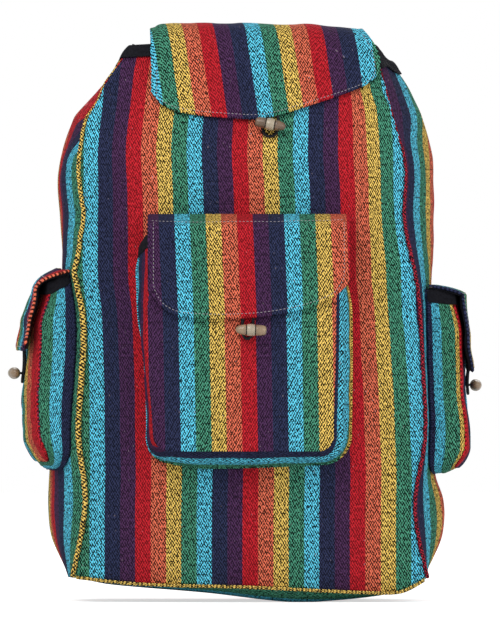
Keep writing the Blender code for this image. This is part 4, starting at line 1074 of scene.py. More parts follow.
def top_flap_surface(s, t):
    """The top flap's outer face: places `s` across it, for each `t` from its root to its hem."""
    hem_z = WALL_HEIGHT - line(FLAP_HEM_DROP, s)
    low_z = mix(WALL_HEIGHT, hem_z, 0.5)
    root_z = WALL_HEIGHT - FLAP_ROOT_DROP
    sag = FLAP_SAG_RIGHT * ease((s - 0.65) / 0.35) + 0.003 * ease((0.06 - s) / 0.06) ** 1.5
    held = 0.006 * ease((s - 0.85) / 0.15)
    top_z = FLAP_TOP - sag
    x_top = mix(FLAP_LEFT[0] + 0.002, FLAP_RIGHT[0], s)
    x_low = mix(FLAP_LEFT[1], FLAP_RIGHT[1], s)
    x_over = mix(x_top, x_low, 0.12)
    x_front = mix(x_top, x_low, 0.60)
    layer = FLAP_CLOTH + SEWN_GAP
    back = back_y(x_top, WALL_HEIGHT)
    front = under_flap_y(x_front, WALL_HEIGHT)
    casing = CASING_GAP + CASING_CLOTH
    stations = (
        (x_top, back_y(x_top, root_z) + layer, root_z),
        (x_top, back + casing + layer + 0.002, mix(WALL_HEIGHT, top_z, 0.42)),
        (x_top, back - 0.008, top_z - 0.001),
        (x_top, mix(back, front, 0.5), top_z),
        (x_over, front + 0.008, top_z - 0.001),
        (x_front, front - casing - layer - 0.006, WALL_HEIGHT + 0.004 - sag + held),
        (x_low, under_flap_y(x_low, low_z) - layer - 0.004, low_z + 0.5 * held),
        (x_low, under_flap_y(x_low, hem_z) - layer - FLAP_HEM_REST, hem_z),
    )
    values = np.stack([point(*station) for station in stations])
    places = np.arange(float(len(stations)))
    return spline(places, values, t * places[-1])


def make_top_flap():
    s = steps(0.0, 1.0, FLAP_COLUMNS)[None, :]
    t = steps(0.0, 1.0, FLAP_ROWS)[:, None]
    points = top_flap_surface(s[0], t[:, 0])
    low = t[..., None]
    out = np.where(low < 0.25, (0.0, 1.0, 0.3), np.where(low < 0.6, (0.0, 0.0, 1.0), (0.0, -1.0, 0.2)))
    normal = grid_normals(points, out)
    along, x = arc(points, 0), points[..., 0]
    edge = np.minimum(np.minimum(s, 1.0 - s) * FLAP_SIZE[0], (1.0 - t) * FLAP_SIZE[1])
    free = ease((t - 0.12) / 0.2)
    swell = FLAP_SWELL * crumple(x, along, 0.075, 51) + FLAP_FINE_SWELL * crumple(x, along / 2.0, 0.03, 52)
    hem = HEM_PRESS * np.exp(-((edge - HEM_STITCH) / 0.0012) ** 2)
    points = points + normal * (swell * ease(edge / 0.02) * free - hem)[..., None]
    lean = FLAP_STRIPE_START + FLAP_STRIPE_LEAN * (along - along[[FLAP_STRIPE_ROW]])
    across = (lean - x) * stripe_width() / FLAP_STRIPE_PITCH
    sheet("top_flap_cloth", "top_flap", "striped_cloth", points, across, along, CLOTH, out)
    inner = points - normal * (CLOTH + LAYER_GAP)
    trim = (slice(2, -2), slice(1, -1))
    sheet("top_flap_lining_cloth", "top_flap_lining", "black_cloth", inner[trim], across[trim], along[trim],
          LINING, out[2:-2])

    margin, foot = FLAP_STITCH_MARGIN, FLAP_STITCH_HEM
    places = np.concatenate([np.full(30, margin), steps(margin, 1.0 - margin, 160),
                             np.full(50, 1.0 - margin)])
    rows = np.concatenate([steps(0.83, foot, 29), np.full(161, foot), steps(foot, 0.62, 49)])
    rows = np.round(rows * FLAP_ROWS).astype(int)

    def on_route(grid):
        columns = np.arange(FLAP_COLUMNS + 1)
        return np.array([[np.interp(place * FLAP_COLUMNS, columns, values) for values in grid[row].T]
                         for place, row in zip(places, rows)])

    stitches("top_flap_stitches", smoothed(on_route(points), 3), on_route(normal))


def smoothed(path, times):
    """A path with its small steps evened out."""
    path = path.copy()
    for _ in range(times):
        path[1:-1] = (path[:-2] + 2.0 * path[1:-1] + path[2:]) / 4.0
    return path


class Pocket:
    """A flat pocket on a wall: a face, a gusset round three of its sides, a bound mouth
    and a flap from above it. `panel` gives the wall's points at places across it and
    heights, and `out` is the way that the pocket stands out. FRONT_POCKET shows the rest."""

    def __init__(self, flap_rise, **sizes):
        vars(self).update(sizes)
        self.out = np.array(self.out)
        self.flap_top = self.mouth + flap_rise
        self.seed = 60 + int(1000.0 * abs(self.foot) + 7.0 * self.out[0])
        left, right = (self.panel(np.array(a), np.array(self.mouth)) for a in (self.left, self.right))
        sideways = unit(right - left - self.out * (right - left).dot(self.out))
        self.sideways = sideways * (1.0, 1.0, 0.0)

    def across(self, a):
        return within(a, self.left, self.right)

    def up(self, z):
        return within(z, self.foot, self.mouth)

    def height(self, a, z):
        """How far the face stands off the wall at a place on it."""
        swell = dome(self.across(a)) * dome(0.5 * self.up(z))
        soft = crumple(a, z / 2.0, 0.05, self.seed) + 0.5 * crumple(a, z, 0.02, self.seed + 1)
        tucked = self.tuck * ease(1.0 - (self.mouth - z) / 0.035)
        tucked = tucked + self.taper * ease((0.165 - z) / 0.040)
        amount, tall = self.round_foot
        tucked = tucked + amount * np.clip(1.0 - (z - self.foot) / tall, 0.0, 1.0) ** 1.6
        soft = (POCKET_FOLD_DEPTH * soft - 0.0008) * ease(4.0 * swell)
        return self.depth + self.pillow * swell + soft - tucked

    def on_face(self, a, z, offset=0.0):
        """A point of the face, whose two sides wander a little from straight lines."""
        a, z = np.broadcast_arrays(a, z)
        shift = mix(line(self.sway[0], z), line(self.sway[1], z), self.across(a))
        height = self.height(a, z) + offset
        return self.panel(a + shift, z) + self.out * height[..., None]

    def face_point(self, s, z):
        low = self.corner - np.clip(z - self.foot, 0.0, self.corner)
        inset = self.corner - np.sqrt(self.corner ** 2 - low ** 2)
        left, right = self.left + inset, self.right - inset
        a = mix(left, right, s)
        edge = np.minimum(np.minimum(a - left, right - a), z - self.foot + 0.0005)
        return self.on_face(a, z, -0.0011 * np.exp(-edge / 0.0016))

    def heights(self, count):
        """The heights of the face's rows: the round corner's, then even ones above."""
        turns = steps(pi / 2.0, 0.0, 14)[:-1]
        round_part = self.foot + self.corner * (1.0 - np.sin(turns))
        return np.concatenate([round_part, steps(self.foot + self.corner, self.mouth, count)])

    def outline(self):
        """The gusset's places round the face: across, height and the way outward."""
        r = self.corner
        left, right, foot = self.left, self.right, self.foot
        side = steps(foot + r, self.mouth, OUTLINE_SIDE)
        turns = steps(0.0, pi / 2.0, 12)[1:-1]
        c, d = np.cos(turns), np.sin(turns)
        bottom = steps(left + r, right - r, OUTLINE_FOOT)
        one, flat = np.ones(OUTLINE_SIDE + 1), np.ones(OUTLINE_FOOT + 1)
        a = np.concatenate([left * one, left + r - r * c, bottom, right - r + r * d, right * one])
        z = np.concatenate([side[::-1], foot + r - r * d, foot * flat, foot + r - r * c, side])
        way = np.concatenate([-one, -c, 0.0 * flat, d, one])
        up = np.concatenate([0.0 * one, -d, -flat, -c, 0.0 * one])
        return a, z, way, up

    def gusset_point(self, q):
        """The gusset from the wall (0) to the face's edge (1), round the whole outline."""
        a, z, way, up = (values[None, :] for values in self.outline())
        share = np.linspace(0.0, 1.0, a.shape[1])[None, :]
        wide = line(self.flare, share)
        low = self.slant * self.up(z) ** 3
        sewn = self.panel(a + way * wide, z + up * wide - low) + self.out * POCKET_SEAT
        edge = self.on_face(a, z, -CLOTH - 0.0008)
        outward = self.sideways * way[..., None] + np.array((0.0, 0.0, 1.0)) * up[..., None]
        place = mix(sewn, edge, q[..., None])
        round_the_foot = np.sin(pi * q) * 0.0016
        soft = 0.0009 * crumple(z + 0.6 * a, 3.0 * self.depth * q, 0.022, self.seed + 4) * np.sin(pi * q)
        return place + outward * (round_the_foot + soft)[..., None]

    def root(self, a):
        """The height of the flap's root, which may climb or fall towards its left edge."""
        return self.flap_top + self.root_lift * ease(1.0 - (a - self.flap_left) / 0.035)

    def rise(self, a, z):
        """How far the flap's outer face stands off the wall."""
        over = ramp((self.root(a) - z) / self.reach)
        layer = SEWN_GAP + FLAP_CLOTH + FLAP_HEM_REST
        bound = BINDING_CLOTH + BINDING_GAP
        clear = bound * (1.0 - ease((self.mouth - z) / (3.0 * BINDING_WIDTH)))
        bent = 0.0
        for edge, bend in ((self.flap_left, self.margins[0]), (self.flap_right, self.margins[1])):
            bent = bent + bend * ease(1.0 - np.abs(a - edge) / 0.022) * over
        return layer + (self.height(a, z) + clear) * over + bent

    def flap_grid(self, s, t):
        hem = self.flap_top - line(self.flap_hem, s)
        first = self.flap_top - self.mouth
        share = t * t * (1.6 - 0.6 * t)
        left = self.flap_left - self.root_reach * ease(1.0 - t / 0.35)
        a = mix(left, self.flap_right, s)
        z = mix(self.root(a), np.minimum(hem, self.mouth - first * 0.2), share)
        flick = 0.0025 * ease((t - 0.8) / 0.2) * abs(self.out[0])
        return self.panel(a, z) + self.out * (self.rise(a, z) + flick)[..., None]

    def make(self, face_stripes, gusset_stripes, flap_stripes):
        """Makes the pocket's pieces. The three functions say which stripe its cloth shows."""
        name, width = self.name, stripe_width()
        face, gusset = name + "_face_cloth", name + "_gusset_cloth"
        z = self.heights(FACE_GRID[0])[:, None]
        points = self.face_point(steps(0.0, 1.0, FACE_GRID[1])[None, :], z)
        stripes = face_stripes(self.along_wall(points), z) * width
        sheet(face, name + "_face", "striped_cloth", points, stripes, z, CLOTH, self.out)

        q = steps(0.0, 1.0, GUSSET_ROWS)[:, None]
        points = self.gusset_point(q)
        share = np.linspace(0.0, 1.0, points.shape[1])
        along = arc(points, 1)[[GUSSET_ROWS // 2]]
        sheet(gusset, name + "_gusset", "striped_cloth", points, gusset_stripes(share[None, :], q) * width,
              along, CLOTH, points - points.mean(axis=(0, 1)) + self.out * 0.01)
        rim = points[0] + self.out * 0.0007 - unit(points[0] - points[3]) * 0.0002
        piece = tube(name + "_gusset_seam", rim, 0.0008, 8, MATERIALS["striped_cloth"],
                     across_start=gusset_stripes(share, 0.0) * width, fine=1.8)
        worn(piece, "striped_cloth")
        self.make_binding()
        self.make_flap(flap_stripes)

    def make_flap(self, flap_stripes):
        name, face = self.name, self.name + "_face_cloth"
        rows, columns = POCKET_FLAP_GRID
        points = self.flap_grid(steps(0.0, 1.0, columns)[None, :], steps(0.0, 1.0, rows)[:, None])
        normal = grid_normals(points, self.out)
        down, over = arc(points, 0), arc(points, 1)
        reach = np.minimum(np.minimum(over, over[:, -1:] - over), down[-1:] - down)
        soft = 0.0007 * crumple(over, down, 0.035, self.seed + 8) * ease(reach / 0.012) * ease(down / 0.012)
        hem = HEM_PRESS * np.exp(-((reach - 0.0032) / 0.0011) ** 2) * ease(down / 0.01)
        points = points + normal * (soft - hem)[..., None]
        stripes = flap_stripes(self.along_wall(points), over, points[..., 2]) * stripe_width()
        sheet(name + "_flap_cloth", name + "_flap", "striped_cloth", points, stripes, down, CLOTH, self.out)
        trim = (slice(2, -1), slice(1, -1))
        inner = points - normal * (CLOTH + LAYER_GAP)
        sheet(name + "_flap_lining_cloth", name + "_flap_lining", "black_cloth", inner[trim], over[trim],
              down[trim], LINING, self.out)
        self.make_stitches(points, normal)

    def along_wall(self, points):
        return points[..., 0] if abs(self.out[1]) > 0.5 else points[..., 1]

    def make_stitches(self, points, normal):
        """A row across the flap's root, and one round its margins and its hem."""
        edge, last = points.shape[1] - 1, points.shape[0] - 3
        root = int(np.argmin(np.abs(points[:, edge // 2, 2] - self.flap_top + 0.0062)))
        stitches(self.name + "_flap_root_stitches", points[root, 1:-1], normal[root, 1:-1])
        route = [(row, 2) for row in range(root + 2, last - 3)]
        route += [(last, column) for column in range(4, edge - 3)]
        route += [(row, edge - 2) for row in range(last - 4, root + 1, -1)]
        rows, columns = np.array(route).T
        path = smoothed(points[rows, columns], 4)
        stitches(self.name + "_flap_hem_stitches", path, normal[rows, columns])

    def make_binding(self):
        """The black strip folded over the edge of the cloth all along the mouth."""
        gusset = self.gusset_point(steps(0.04, 0.94, BINDING_TURN)[:, None])
        face = self.face_point(steps(0.0, 1.0, 60)[None, :], np.array([[self.mouth], [self.mouth - 0.01]]))
        top = np.concatenate([gusset[:, 0], face[0], gusset[::-1, -1]])
        below = np.concatenate([gusset[:, 4], face[1], gusset[::-1, -5]])
        side, count = self.sideways, len(gusset)
        outward = np.concatenate([np.tile(way, (times, 1)) for way, times in (
            (-side, count), (self.out, face.shape[1]), (side, count))])
        turning = ease(steps(0.0, 1.0, 6))[:, None]
        outward[count - 3:count + 4] = mix(-side, self.out, turning)
        outward[-count - 4:3 - count] = mix(self.out, side, turning)
        outward = unit(outward)
        down = unit(below - top)
        over = BINDING_GAP
        inside = -CLOTH - BINDING_CLOTH - BINDING_GAP
        section = ((over, BINDING_WIDTH), (over + 0.0003, 0.5 * BINDING_WIDTH), (over, 0.0),
                   (over * 0.4, -0.0013), (-0.5 * CLOTH, -0.0018), (inside + 0.0008, -0.0013),
                   (inside, 0.0), (inside, 0.45 * BINDING_WIDTH), (inside, 0.9 * BINDING_WIDTH))
        section = curve(section, BINDING_ROWS)
        points = np.stack([top + outward * off + down * drop for off, drop in section])
        around = arc(top[None], 1)
        uneven = 0.00022 * crumple(around, 0.0, 0.01, self.seed + 12)
        points = points + outward[None] * uneven[..., None]
        away = outward[None] * np.sign(section[:, 0] + 0.5 * CLOTH)[:, None, None]
        sheet(self.name + "_mouth_binding_cloth", self.name + "_mouth_binding", "black_cloth", points,
              around, arc(points, 0), 0.0006, away)


def body_front(a, z):
    return point(a, front_y(a, z), z)


def left_side(a, z):
    return point(side_x(-1, a, z), a, z)


def right_side(a, z):
    return point(side_x(1, a, z), a, z)


FRONT_POCKET = dict(
    name="front_pocket", panel=body_front, out=(0.0, -1.0, 0.0), left=-0.0725, right=0.0725,
    foot=0.117, mouth=0.285, depth=0.027, pillow=0.005, taper=0.0, round_foot=(0.0, 0.01), corner=0.012,
    flare=((0.0, 0.0088), (0.015, 0.0093), (0.04, 0.0114), (0.065, 0.0110), (0.094, 0.0106),
           (0.122, 0.0095), (0.15, 0.0068), (0.20, 0.0045), (0.286, 0.0035), (0.342, 0.008),
           (0.40, 0.0125), (0.50, 0.0125), (0.60, 0.0110), (0.653, 0.010), (0.71, 0.0095),
           (0.80, 0.0102), (0.90, 0.0098), (0.925, 0.0078), (0.95, 0.0052), (1.0, 0.0048)),
    sway=(((0.12, 0.002), (0.13, 0.0016), (0.155, -0.0002), (0.176, -0.0023), (0.20, -0.0043),
           (0.22, -0.0034), (0.255, 0.0)),
          ((0.12, -0.004), (0.14, -0.004), (0.187, -0.0025), (0.235, -0.0018), (0.285, 0.0))),
    slant=0.010, tuck=0.0, reach=0.0115,
    flap_left=-0.0745, flap_right=0.0805, flap_rise=0.0155,
    flap_hem=((0.0, 0.060), (0.06, 0.071), (0.16, 0.079), (0.50, 0.080), (0.75, 0.074),
              (0.92, 0.064), (1.0, 0.053)),
    margins=(0.0, 0.0), root_lift=0.0, root_reach=0.0, loop_at=(0.005, 0.211))
LEFT_POCKET = dict(
    name="left_pocket", panel=left_side, out=(-1.0, 0.0, 0.0), left=-0.045, right=0.052,
    foot=0.108, mouth=0.2475, depth=0.027, pillow=0.0, taper=0.0035, round_foot=(0.011, 0.022),
    corner=0.016,
    flare=((0.0, 0.006), (0.28, 0.006), (0.35, 0.006), (0.65, 0.006), (0.72, 0.010), (1.0, 0.010)),
    sway=(((0.11, 0.0), (0.25, 0.0)), ((0.11, 0.0), (0.25, 0.0))),
    slant=-0.0085, tuck=0.0105, reach=0.016, flap_left=-0.050, flap_right=0.056, flap_rise=0.0115,
    flap_hem=((0.0, 0.058), (0.08, 0.063), (0.50, 0.0635), (0.92, 0.063), (1.0, 0.058)),
    margins=(0.0060, 0.002), root_lift=-0.0015, root_reach=0.010, loop_at=(0.002, 0.177))
RIGHT_POCKET = dict(LEFT_POCKET, name="right_pocket", panel=right_side, out=(1.0, 0.0, 0.0),
                    left=-0.030, foot=0.103, mouth=0.2395, depth=0.027, taper=-0.003,
                    round_foot=(0.010, 0.016), slant=-0.002, tuck=0.0055, reach=0.0085,
                    flare=((0.0, 0.008), (0.28, 0.006), (0.35, 0.004), (0.65, 0.004), (0.72, 0.010),
                           (1.0, 0.010)),
                    flap_left=-0.034, flap_rise=0.0065, margins=(0.0015, 0.002),
                    flap_hem=((0.0, 0.064), (0.08, 0.0675), (0.50, 0.0650), (0.92, 0.0675), (1.0, 0.064)),
                    root_lift=0.0, root_reach=0.006, loop_at=(0.010, 0.168))


def front_gusset_stripes(w, q):
    """Which stripe the front gusset shows, round from the left mouth to the right one."""
    left = mix(-2.45, 0.75 - 0.9 * w, ease(q))
    bottom = mix(-3.6, -1.2, q)
    right = line(((0.0, -4.6), (0.20, -4.0), (0.27, -3.0), (0.85, -2.0), (1.0, -1.7)), q)
    low = ease((w - 0.30) / 0.05)
    high = ease((w - 0.655) / 0.05)
    return mix(mix(left, bottom, low), right, high)


def left_flap_stripes(a, over, z):
    """An orange thread on the front edge, then red, which leans away to navy lower down."""
    lean = 1.2 * ease((0.237 - z) / 0.03)
    return np.where(over < 0.0018, 1.1, 0.97 - (over - 0.0018) / 0.017 - lean)


def leaning_stripes(a, z, high, low, pitch):
    """Stripes that start on a slanted line through two places, each (across, height)."""
    share = (high[1] - z) / (high[1] - low[1])
    return (mix(high[0], low[0], share) - a) / pitch


def make_pockets():
    pitch = SIDE_STRIPE_PITCH
    Pocket(**FRONT_POCKET).make(
        lambda a, z: leaning_stripes(a, z, *FRONT_FACE_STRIPES), front_gusset_stripes,
        lambda a, over, z: leaning_stripes(a, z, *FRONT_FLAP_STRIPES))
    Pocket(**LEFT_POCKET).make(
        lambda a, z: (a - LEFT_POCKET["left"]) / pitch, lambda w, q: line(LEFT_GUSSET_STRIPES, q),
        left_flap_stripes)
    Pocket(**RIGHT_POCKET).make(
        lambda a, z: 1.0 - (a - RIGHT_POCKET["left"]) / pitch, lambda w, q: line(RIGHT_GUSSET_STRIPES, q),
        lambda a, over, z: 5.9 - over / pitch)


def free_cord(name, route, radius, slot, node, material, samples, sides):
    path = curve(route, samples)
    piece = tube(name, path, radius, sides, MATERIALS[material])
    worn(piece, slot, "bag", node)


# Each ring of a toggle: its place along the barrel, its size, and its material
TOGGLE_PROFILE = (
    (0.0, 0.02, 0), (0.004, 0.42, 0), (0.02, 0.66, 0), (0.06, 0.80, 0), (0.16, 0.88, 0),
    (0.30, 0.93, 0), (0.338, 0.92, 0), (0.346, 0.80, 2), (0.362, 0.80, 2), (0.370, 0.93, 1),
    (0.40, 0.99, 1), (0.50, 1.02, 1), (0.60, 0.99, 1), (0.630, 0.93, 1), (0.638, 0.80, 2),
    (0.654, 0.80, 2), (0.662, 0.92, 0), (0.74, 0.88, 0), (0.84, 0.78, 0), (0.92, 0.62, 0),
    (0.97, 0.44, 0), (0.99, 0.28, 0), (1.0, 0.02, 0))


def make_toggle(name, body, joint, wood, flip):
    """A turned barrel with a paler bead between two grooves, and the tie behind it."""
    mesh = frame["nodes"][name + "_toggle"].data
    corners = np.array([tuple(v.co) for v in mesh.vertices])
    centre = (corners.max(0) + corners.min(0)) / 2.0
    spread = corners - corners.mean(0)
    along = np.linalg.svd(spread, full_matrices=False)[2][0]
    normal = unit(np.array(joint["axis"], float))
    along = unit(along - normal * along.dot(normal))
    along = along * (1.0 if along[0] - along[1] > 0.0 else -1.0) * flip
    side = np.cross(normal, along)
    centre = np.array(joint["pos_m"]) + normal * (centre - joint["pos_m"]).dot(normal)
    profile = np.array(TOGGLE_PROFILE)
    turns = steps(0.0, 2.0 * pi, TOGGLE_SIDES)[:-1]
    rings, local = [], []
    for share, size, _ in profile:
        x = (share - 0.5) * TOGGLE_LENGTH
        oval = np.stack([np.cos(turns), np.sin(turns)], axis=1) * size * TOGGLE_RADIUS
        rings.append(centre + along * x + side * oval[:, :1] + normal * oval[:, 1:])
        local.append(np.column_stack([np.full(TOGGLE_SIDES, x), oval]))
    places = np.concatenate(rings)
    index = np.arange(len(places)).reshape(-1, TOGGLE_SIDES)
    faces = [tuple(f) for f in ring_faces(index)] + [tuple(index[0][::-1]), tuple(index[-1])]
    kinds = np.repeat(np.maximum(profile[:-1, 2], profile[1:, 2]).astype(int), TOGGLE_SIDES)
    barrel = add_mesh(name + "_barrel", places, faces, np.concatenate(local),
                      [MATERIALS[wood], MATERIALS["bead"], MATERIALS["groove"]])
    for face, kind in zip(barrel.data.polygons, kinds):
        face.material_index = kind
    worn(barrel, "dark_wood" if wood == "wood" else "pale_wood", body, name + "_toggle")
    seat = centre - normal * (TOGGLE_RADIUS + TOGGLE_CLEARANCE)
    for order, shift in enumerate((-TIE_SPREAD, TIE_SPREAD)):
        inner = centre - normal * (0.55 * TOGGLE_RADIUS) + along * shift
        route = (seat + normal * 0.0004 + along * shift * 0.6,
                 mix(seat, inner, 0.5) + side * shift * 0.4, inner)
        strand = tube(f"{name}_tie_strand_{order}", curve(route, 14), TIE_RADIUS, 8, MATERIALS["cord"],
                      twist=0.4)
        worn(strand, "cord", body, *([name + "_toggle_tie"] if order == 0 else []))


def make_loop(name, surface, a, z, hem, out):
    """The loop of cord from inside the flap's hem, round behind its toggle."""
    step = 0.006
    across = unit(surface(a + step, z) - surface(a - step, z))
    up = unit(surface(a, z + step) - surface(a, z - step))
    normal = unit(np.cross(across, up))
    if normal.dot(out) < 0.0:
        normal = -normal
    drop = hem - z
    spread = LOOP_SPREAD.get(name, LOOP_SPREAD["pocket"])
    rest = LOOP_REST + LOOP_RADIUS
    high = FLAP_HEM_REST + 0.0021
    top = drop - LOOP_START
    route = [(-spread, drop + 0.0035, high), (-spread, top, mix(high, rest, 0.6)),
             (-spread, 0.3 * top, rest), (-0.7 * spread, -0.7 * LOOP_BELOW, rest),
             (0.0, -LOOP_BELOW, rest), (0.7 * spread, -0.7 * LOOP_BELOW, rest),
             (spread, 0.3 * top, rest), (spread, top, mix(high, rest, 0.6)),
             (spread, drop + 0.0035, high)]
    path = [surface(a + da, z + dz) + normal * lift for da, dz, lift in route]
    free_cord(name + "_cord_loop", path, LOOP_RADIUS, "cord", name + "_loop", "cord", samples=60, sides=12)


def make_toggles():
    joints = {joint["name"]: joint for joint in frame["joints"]}
    for name, body, wood, flip in (
            ("top_flap", "top_toggle", "wood", 1.0), ("front_pocket", "pocket_toggle", "bone", -1.0),
            ("left_pocket", "left_toggle", "bone", 1.0), ("right_pocket", "right_toggle", "bone", 1.0)):
        make_toggle(name, body, joints[body + "_swivel"], wood, flip)
    hem = WALL_HEIGHT - float(line(FLAP_HEM_DROP, 0.52))
    make_loop("top_flap", body_front, *TOP_TOGGLE, hem, (0.0, -1.0, 0.0))
    for sizes in (FRONT_POCKET, LEFT_POCKET, RIGHT_POCKET):
        pocket = Pocket(**sizes)
        place, height = pocket.loop_at
        share = (place - pocket.flap_left) / (pocket.flap_right - pocket.flap_left)
        hem = pocket.flap_top - float(line(pocket.flap_hem, share))
        make_loop(pocket.name, pocket.on_face, place, height, hem, pocket.out)


def body_back(x, z, out):
    return point(x, back_y(x, z) + out, z)


def make_yoke():
    x = steps(-YOKE_HALF_WIDTH, YOKE_HALF_WIDTH, 80)[None, :]
    z = steps(YOKE_FOOT, YOKE_TOP, 26)[:, None]
    edge = np.minimum(YOKE_HALF_WIDTH - np.abs(x), np.minimum(z - YOKE_FOOT, YOKE_TOP - z))
    press = -0.0003 * np.exp(-((edge - 0.004) / 0.001) ** 2)
    points = body_back(x, z, YOKE_SEAT + CLOTH + press)
    out = np.array((0.0, 1.0, 0.0))
    sheet("yoke_cloth", "strap_yoke", "striped_cloth", points, z - YOKE_FOOT + 3.2 * stripe_width(), x,
          CLOTH, out)
    stitches("yoke_stitches_low", points[2, 2:-2], out)
    stitches("yoke_stitches_high", points[-3, 2:-2], out)


def make_haul_loop():
    lift = YOKE_SEAT + CLOTH + SEWN_GAP + HAUL_LOOP_RADIUS
    spread = HAUL_LOOP_SPREAD
    foot = mix(YOKE_FOOT, YOKE_TOP, 0.45)
    route = [body_back(np.array(x), np.array(z), lift + out) for x, z, out in (
        (-spread, foot, 0.0), (-spread, YOKE_TOP - 0.006, 0.001), (-1.15 * spread, YOKE_TOP + 0.010, 0.012),
        (-0.6 * spread, YOKE_TOP + 0.022, 0.022), (0.6 * spread, YOKE_TOP + 0.022, 0.022),
        (1.15 * spread, YOKE_TOP + 0.010, 0.012), (spread, YOKE_TOP - 0.006, 0.001), (spread, foot, 0.0))]
    free_cord("haul_loop_cloth", route, HAUL_LOOP_RADIUS, "striped_cloth", "haul_loop", "haul",
              samples=110, sides=20)


def strap_route(side):
    seat = YOKE_SEAT + CLOTH + SEWN_GAP + STRAP_HALF_THICK
    end_x, end_z, end_out = STRAP_END
    spread = end_x - STRAP_TOP_X
    stations = (
        (STRAP_TOP_X, YOKE_FOOT + 0.004, seat), (STRAP_TOP_X, YOKE_TOP - 0.008, seat + 0.002),
        (STRAP_TOP_X + 0.115 * spread, YOKE_TOP + 0.012, 0.030),
        (STRAP_TOP_X + 0.27 * spread, YOKE_TOP + 0.004, 0.056),
        (STRAP_TOP_X + 0.50 * spread, YOKE_FOOT + 0.007, 0.068),
        (STRAP_TOP_X + 0.77 * spread, mix(end_z, YOKE_FOOT, 0.692), 0.062),
        (STRAP_TOP_X + 0.92 * spread, mix(end_z, YOKE_FOOT, 0.333), 0.046), (end_x, end_z, end_out))
    return [body_back(np.array(side * x), np.array(z), out) for x, z, out in stations]


def make_strap(side):
    """A padded strap from the yoke, its webbing from the base, and the slider between."""
    name = "left" if side < 0 else "right"
    route = strap_route(side)
    pad = curve(route, 150)
    ends = np.linspace(0.0, 1.0, len(pad))
    thin = mix(0.45, 1.0, ramp(ends / 0.06)) * mix(0.45, 1.0, ramp((1.0 - ends) / 0.06))
    piece = band(name + "_strap_pad", pad, STRAP_HALF_WIDTH, STRAP_HALF_THICK * thin,
                 MATERIALS["striped_cloth"], corners=48, squareness=0.35,
                 across_start=3.5 * stripe_width(), pucker=STRAP_PUCKER_DEPTH)
    worn(piece, "striped_cloth", "bag", name + "_shoulder_strap")
    before, end = curve(route, 14)[-2:]
    run = unit(end - before)
    back = np.cross(ACROSS, run)
    if back[1] < 0.0:
        back = -back

    def beside(down, out):
        return end + run * down + back * out

    half = WEBBING_THICK / 2.0
    over = SLIDER_THICK / 2.0 + SLIDER_GAP + half
    under = -STRAP_HALF_THICK - SEWN_GAP - half
    slot_top = SLIDER_DROP - SLIDER_SLOT + SLIDER_BAR / 2.0
    bar_top = SLIDER_DROP - SLIDER_BAR / 2.0
    tab = (beside(-0.014, under - 0.0015), beside(0.002, under), beside(slot_top - 0.004, -over),
           beside(slot_top + 0.0005, -over), beside(slot_top + SLIDER_TURN, 0.0),
           beside(slot_top + 0.0005, over), beside(slot_top - 0.006, over))
    piece = band(name + "_strap_tab_webbing", curve(tab, 70), WEBBING_HALF_WIDTH, half,
                 MATERIALS["webbing"], corners=24, squareness=0.25)
    worn(piece, "webbing", "bag", name + "_strap_tab")
    rest = WEBBING_SEAT + half
    foot_x, foot_z = WEBBING_FOOT
    foot = body_back(np.array(side * foot_x), np.array(foot_z), rest)
    foot_top = body_back(np.array(side * (foot_x - 0.001)), np.array(foot_z + 0.022), rest)
    below = SLIDER_DROP + SLIDER_LENGTH / 2.0 + 0.003
    tail = (beside(SLIDER_DROP + 0.050, over + 0.004), beside(below, over + 0.001),
            beside(bar_top - 0.0005, over), beside(bar_top - SLIDER_TURN, 0.0),
            beside(bar_top - 0.0005, -over), beside(below, -over),
            mix(beside(below, -over), foot_top, 0.5), foot_top, foot)
    piece = band(name + "_adjusting_webbing", curve(tail, 170), WEBBING_HALF_WIDTH, half,
                 MATERIALS["webbing"], corners=24, squareness=0.25)
    worn(piece, "webbing", "bag", name + "_strap_webbing")
    slider = frame["nodes"][name + "_strap_slider"]
    slider.data.materials.clear()
    slider.data.materials.append(MATERIALS["plastic"])
    rounded = slider.modifiers.new("rounded edges", "BEVEL")
    rounded.width = 0.0006
    rounded.segments = 3


class BACKPACK_OT_body(bpy.types.Operator):
    """Make the walls, the base, the lining, the mouth's band and the piping"""

    bl_idname = "backpack.body"
    bl_label = "Body"

    def execute(self, context):
        make_walls()
        make_lining()
        make_mouth_band()
        make_welts()
        return {"FINISHED"}


class BACKPACK_OT_top_flap(bpy.types.Operator):
    """Make the top flap, its lining and its stitches"""

    bl_idname = "backpack.top_flap"
    bl_label = "Top flap"

    def execute(self, context):
        make_top_flap()
        return {"FINISHED"}


class BACKPACK_OT_pockets(bpy.types.Operator):
    """Make the three pockets with their gussets, bound mouths and flaps"""

    bl_idname = "backpack.pockets"
    bl_label = "Pockets"

    def execute(self, context):
        make_pockets()
        return {"FINISHED"}


class BACKPACK_OT_toggles(bpy.types.Operator):
    """Make the four toggles, their ties and the loops that hold them"""

    bl_idname = "backpack.toggles"
    bl_label = "Toggles"

    def execute(self, context):
        make_toggles()
        return {"FINISHED"}


class BACKPACK_OT_straps(bpy.types.Operator):
    """Make the yoke, the haul loop, the padded straps and their webbing"""

    bl_idname = "backpack.straps"
    bl_label = "Straps"

    def execute(self, context):
        make_yoke()
        make_haul_loop()
        for side in (-1, 1):
            make_strap(side)
        return {"FINISHED"}


class BACKPACK_OT_materials(bpy.types.Operator):
    """Make the node groups and the materials"""

    bl_idname = "backpack.materials"
    bl_label = "Materials"

    def execute(self, context):
        make_materials()
        return {"FINISHED"}


class BACKPACK_OT_stage(bpy.types.Operator):
    """Make the camera, the lamps, the white floor and the white surroundings"""

    bl_idname = "backpack.stage"
    bl_label = "Stage"

    def execute(self, context):
        make_stage()
        return {"FINISHED"}


